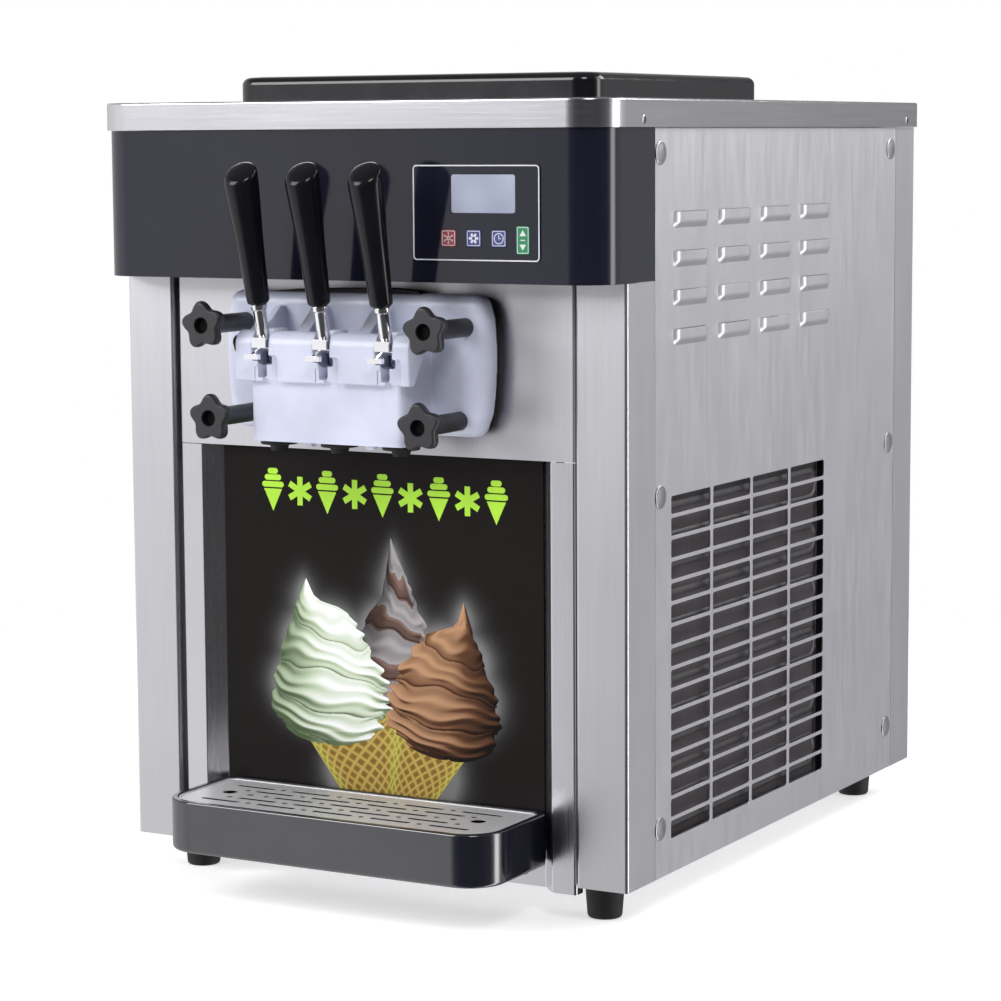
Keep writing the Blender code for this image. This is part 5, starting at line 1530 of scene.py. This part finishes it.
def studio_world():
    """A studio with pale walls to the left and behind, dark in front and a bright strip at the right."""
    world = bpy.data.worlds.new("studio")
    bpy.context.scene.world = world
    world.use_nodes = True
    tree = world.node_tree
    background = tree.nodes["Background"]

    def feed(sockets, values):
        for socket, value in zip(sockets, values):
            if isinstance(value, (int, float)):
                socket.default_value = value
            else:
                tree.links.new(value, socket)

    def math_node(operation, first, second=0.0):
        made = tree.nodes.new("ShaderNodeMath")
        made.operation = operation
        feed(made.inputs, (first, second))
        return made.outputs[0]

    def blend(factor, low_value, high_value):
        made = tree.nodes.new("ShaderNodeMix")
        made.data_type = "FLOAT"
        tree.links.new(factor, made.inputs[0])
        feed(made.inputs[2:4], (low_value, high_value))
        return made.outputs[0]

    def smooth(value, start, end):
        made = tree.nodes.new("ShaderNodeMapRange")
        made.interpolation_type = "SMOOTHSTEP"
        tree.links.new(value, made.inputs["Value"])
        made.inputs["From Min"].default_value = start
        made.inputs["From Max"].default_value = end
        return made.outputs["Result"]

    direction = tree.nodes.new("ShaderNodeTexCoord").outputs["Generated"]
    split = tree.nodes.new("ShaderNodeSeparateXYZ")
    tree.links.new(direction, split.inputs[0])
    across, along, height = split.outputs
    bearing = math_node("ARCTAN2", across, math_node("MULTIPLY", along, -1.0))
    turn = math_node("ADD", math_node("DIVIDE", bearing, 2 * math.pi), 0.5)
    ramp_node = tree.nodes.new("ShaderNodeValToRGB")
    ramp = ramp_node.color_ramp
    ramp.interpolation = "LINEAR"
    while len(ramp.elements) < len(STUDIO):
        ramp.elements.new(0.5)
    for element, (degrees, level) in zip(ramp.elements, STUDIO):
        element.position = degrees / 360 + 0.5
        share = level / STUDIO_BRIGHTEST
        element.color = (share, share, share, 1.0)
    tree.links.new(turn, ramp_node.inputs[0])
    walls = math_node("MULTIPLY", ramp_node.outputs["Color"], STUDIO_BRIGHTEST)
    upper = blend(smooth(height, 0.25, 0.8), walls, STUDIO_TOP)
    all_round = blend(smooth(math_node("MULTIPLY", height, -1.0), 0.03, 0.5), upper,
                      math_node("MULTIPLY", walls, STUDIO_LOW_SHARE))
    seen = tree.nodes.new("ShaderNodeLightPath").outputs["Is Camera Ray"]
    tree.links.new(blend(seen, all_round, 1.0), background.inputs["Strength"])
    background.inputs["Color"].default_value = (1.0, 1.0, 1.0, 1.0)


def area_light(name, location, target, size, power):
    light = bpy.data.lights.new(name, "AREA")
    light.shape = "RECTANGLE"
    light.size = light.size_y = size
    light.energy = power
    obj = bpy.data.objects.new(name, light)
    obj.location = location
    obj.rotation_euler = (Vector(target) - Vector(location)).to_track_quat("-Z", "Y").to_euler()
    obj.visible_camera = False
    bpy.context.scene.collection.objects.link(obj)


def lights():
    area_light("key_front_left", (-1.5, -2.6, 1.9), (0, -0.2, 0.45), 1.6, 60)
    area_light("fill_front_right", (1.7, -2.2, 2.4), (0.1, -0.2, 0.45), 1.0, 30)
    area_light("right_rear_card", (1.2, 1.05, 1.5), (0.27, 0.0, 0.6), 0.9, 16.0)


CAMERA_AT = (1.44309, -2.34653, 0.70243)  # metres: right, behind the posts' front face, up
CAMERA_AXES = (  # its right, its upward and its backward direction
    (0.87432, 0.48532, -0.00582), (-0.05279, 0.10700, 0.99286), (0.48248, -0.86776, 0.11917),
)
CAMERA_LENS = 108.906
CAMERA_SENSOR = 36


def camera():
    """Stands where the photographer stood: front right, a little above."""
    lens = bpy.data.cameras.new("camera")
    lens.sensor_width = CAMERA_SENSOR
    lens.lens = CAMERA_LENS
    lens.clip_end = 60
    obj = bpy.data.objects.new("camera", lens)
    matrix = Matrix(CAMERA_AXES).transposed().to_4x4()
    matrix.translation = Vector((CAMERA_AT[0], back(CAMERA_AT[1]), CAMERA_AT[2]))
    obj.matrix_world = matrix
    bpy.context.scene.collection.objects.link(obj)
    bpy.context.scene.camera = obj


# ---------------------------------------------------------------- the machine

posts()
for side_name, sign in (("right", 1), ("left", -1)):
    side_panel(f"side_panel_{side_name}", sign)
screw_caps()
top_cover()
feet()
rear_panel()
front_fascia()
control_panel()
front_panels()
poster()
drip_tray()
drip_grid()
dispensing_head()
pivot_pin()
for flavour, centre_x in zip(("left", "middle", "right"), flavour_xs()):
    lever(flavour, centre_x)
    grip(flavour, centre_x)
    piston(flavour, centre_x)
    nozzle(flavour, centre_x)
knobs()
hopper_lid()
condenser()
for kept, kept_look in KEPT.items():
    finish_node(kept, kept_look)

floor()
studio_world()
lights()
camera()
bpy.context.scene.view_settings.view_transform = "Standard"
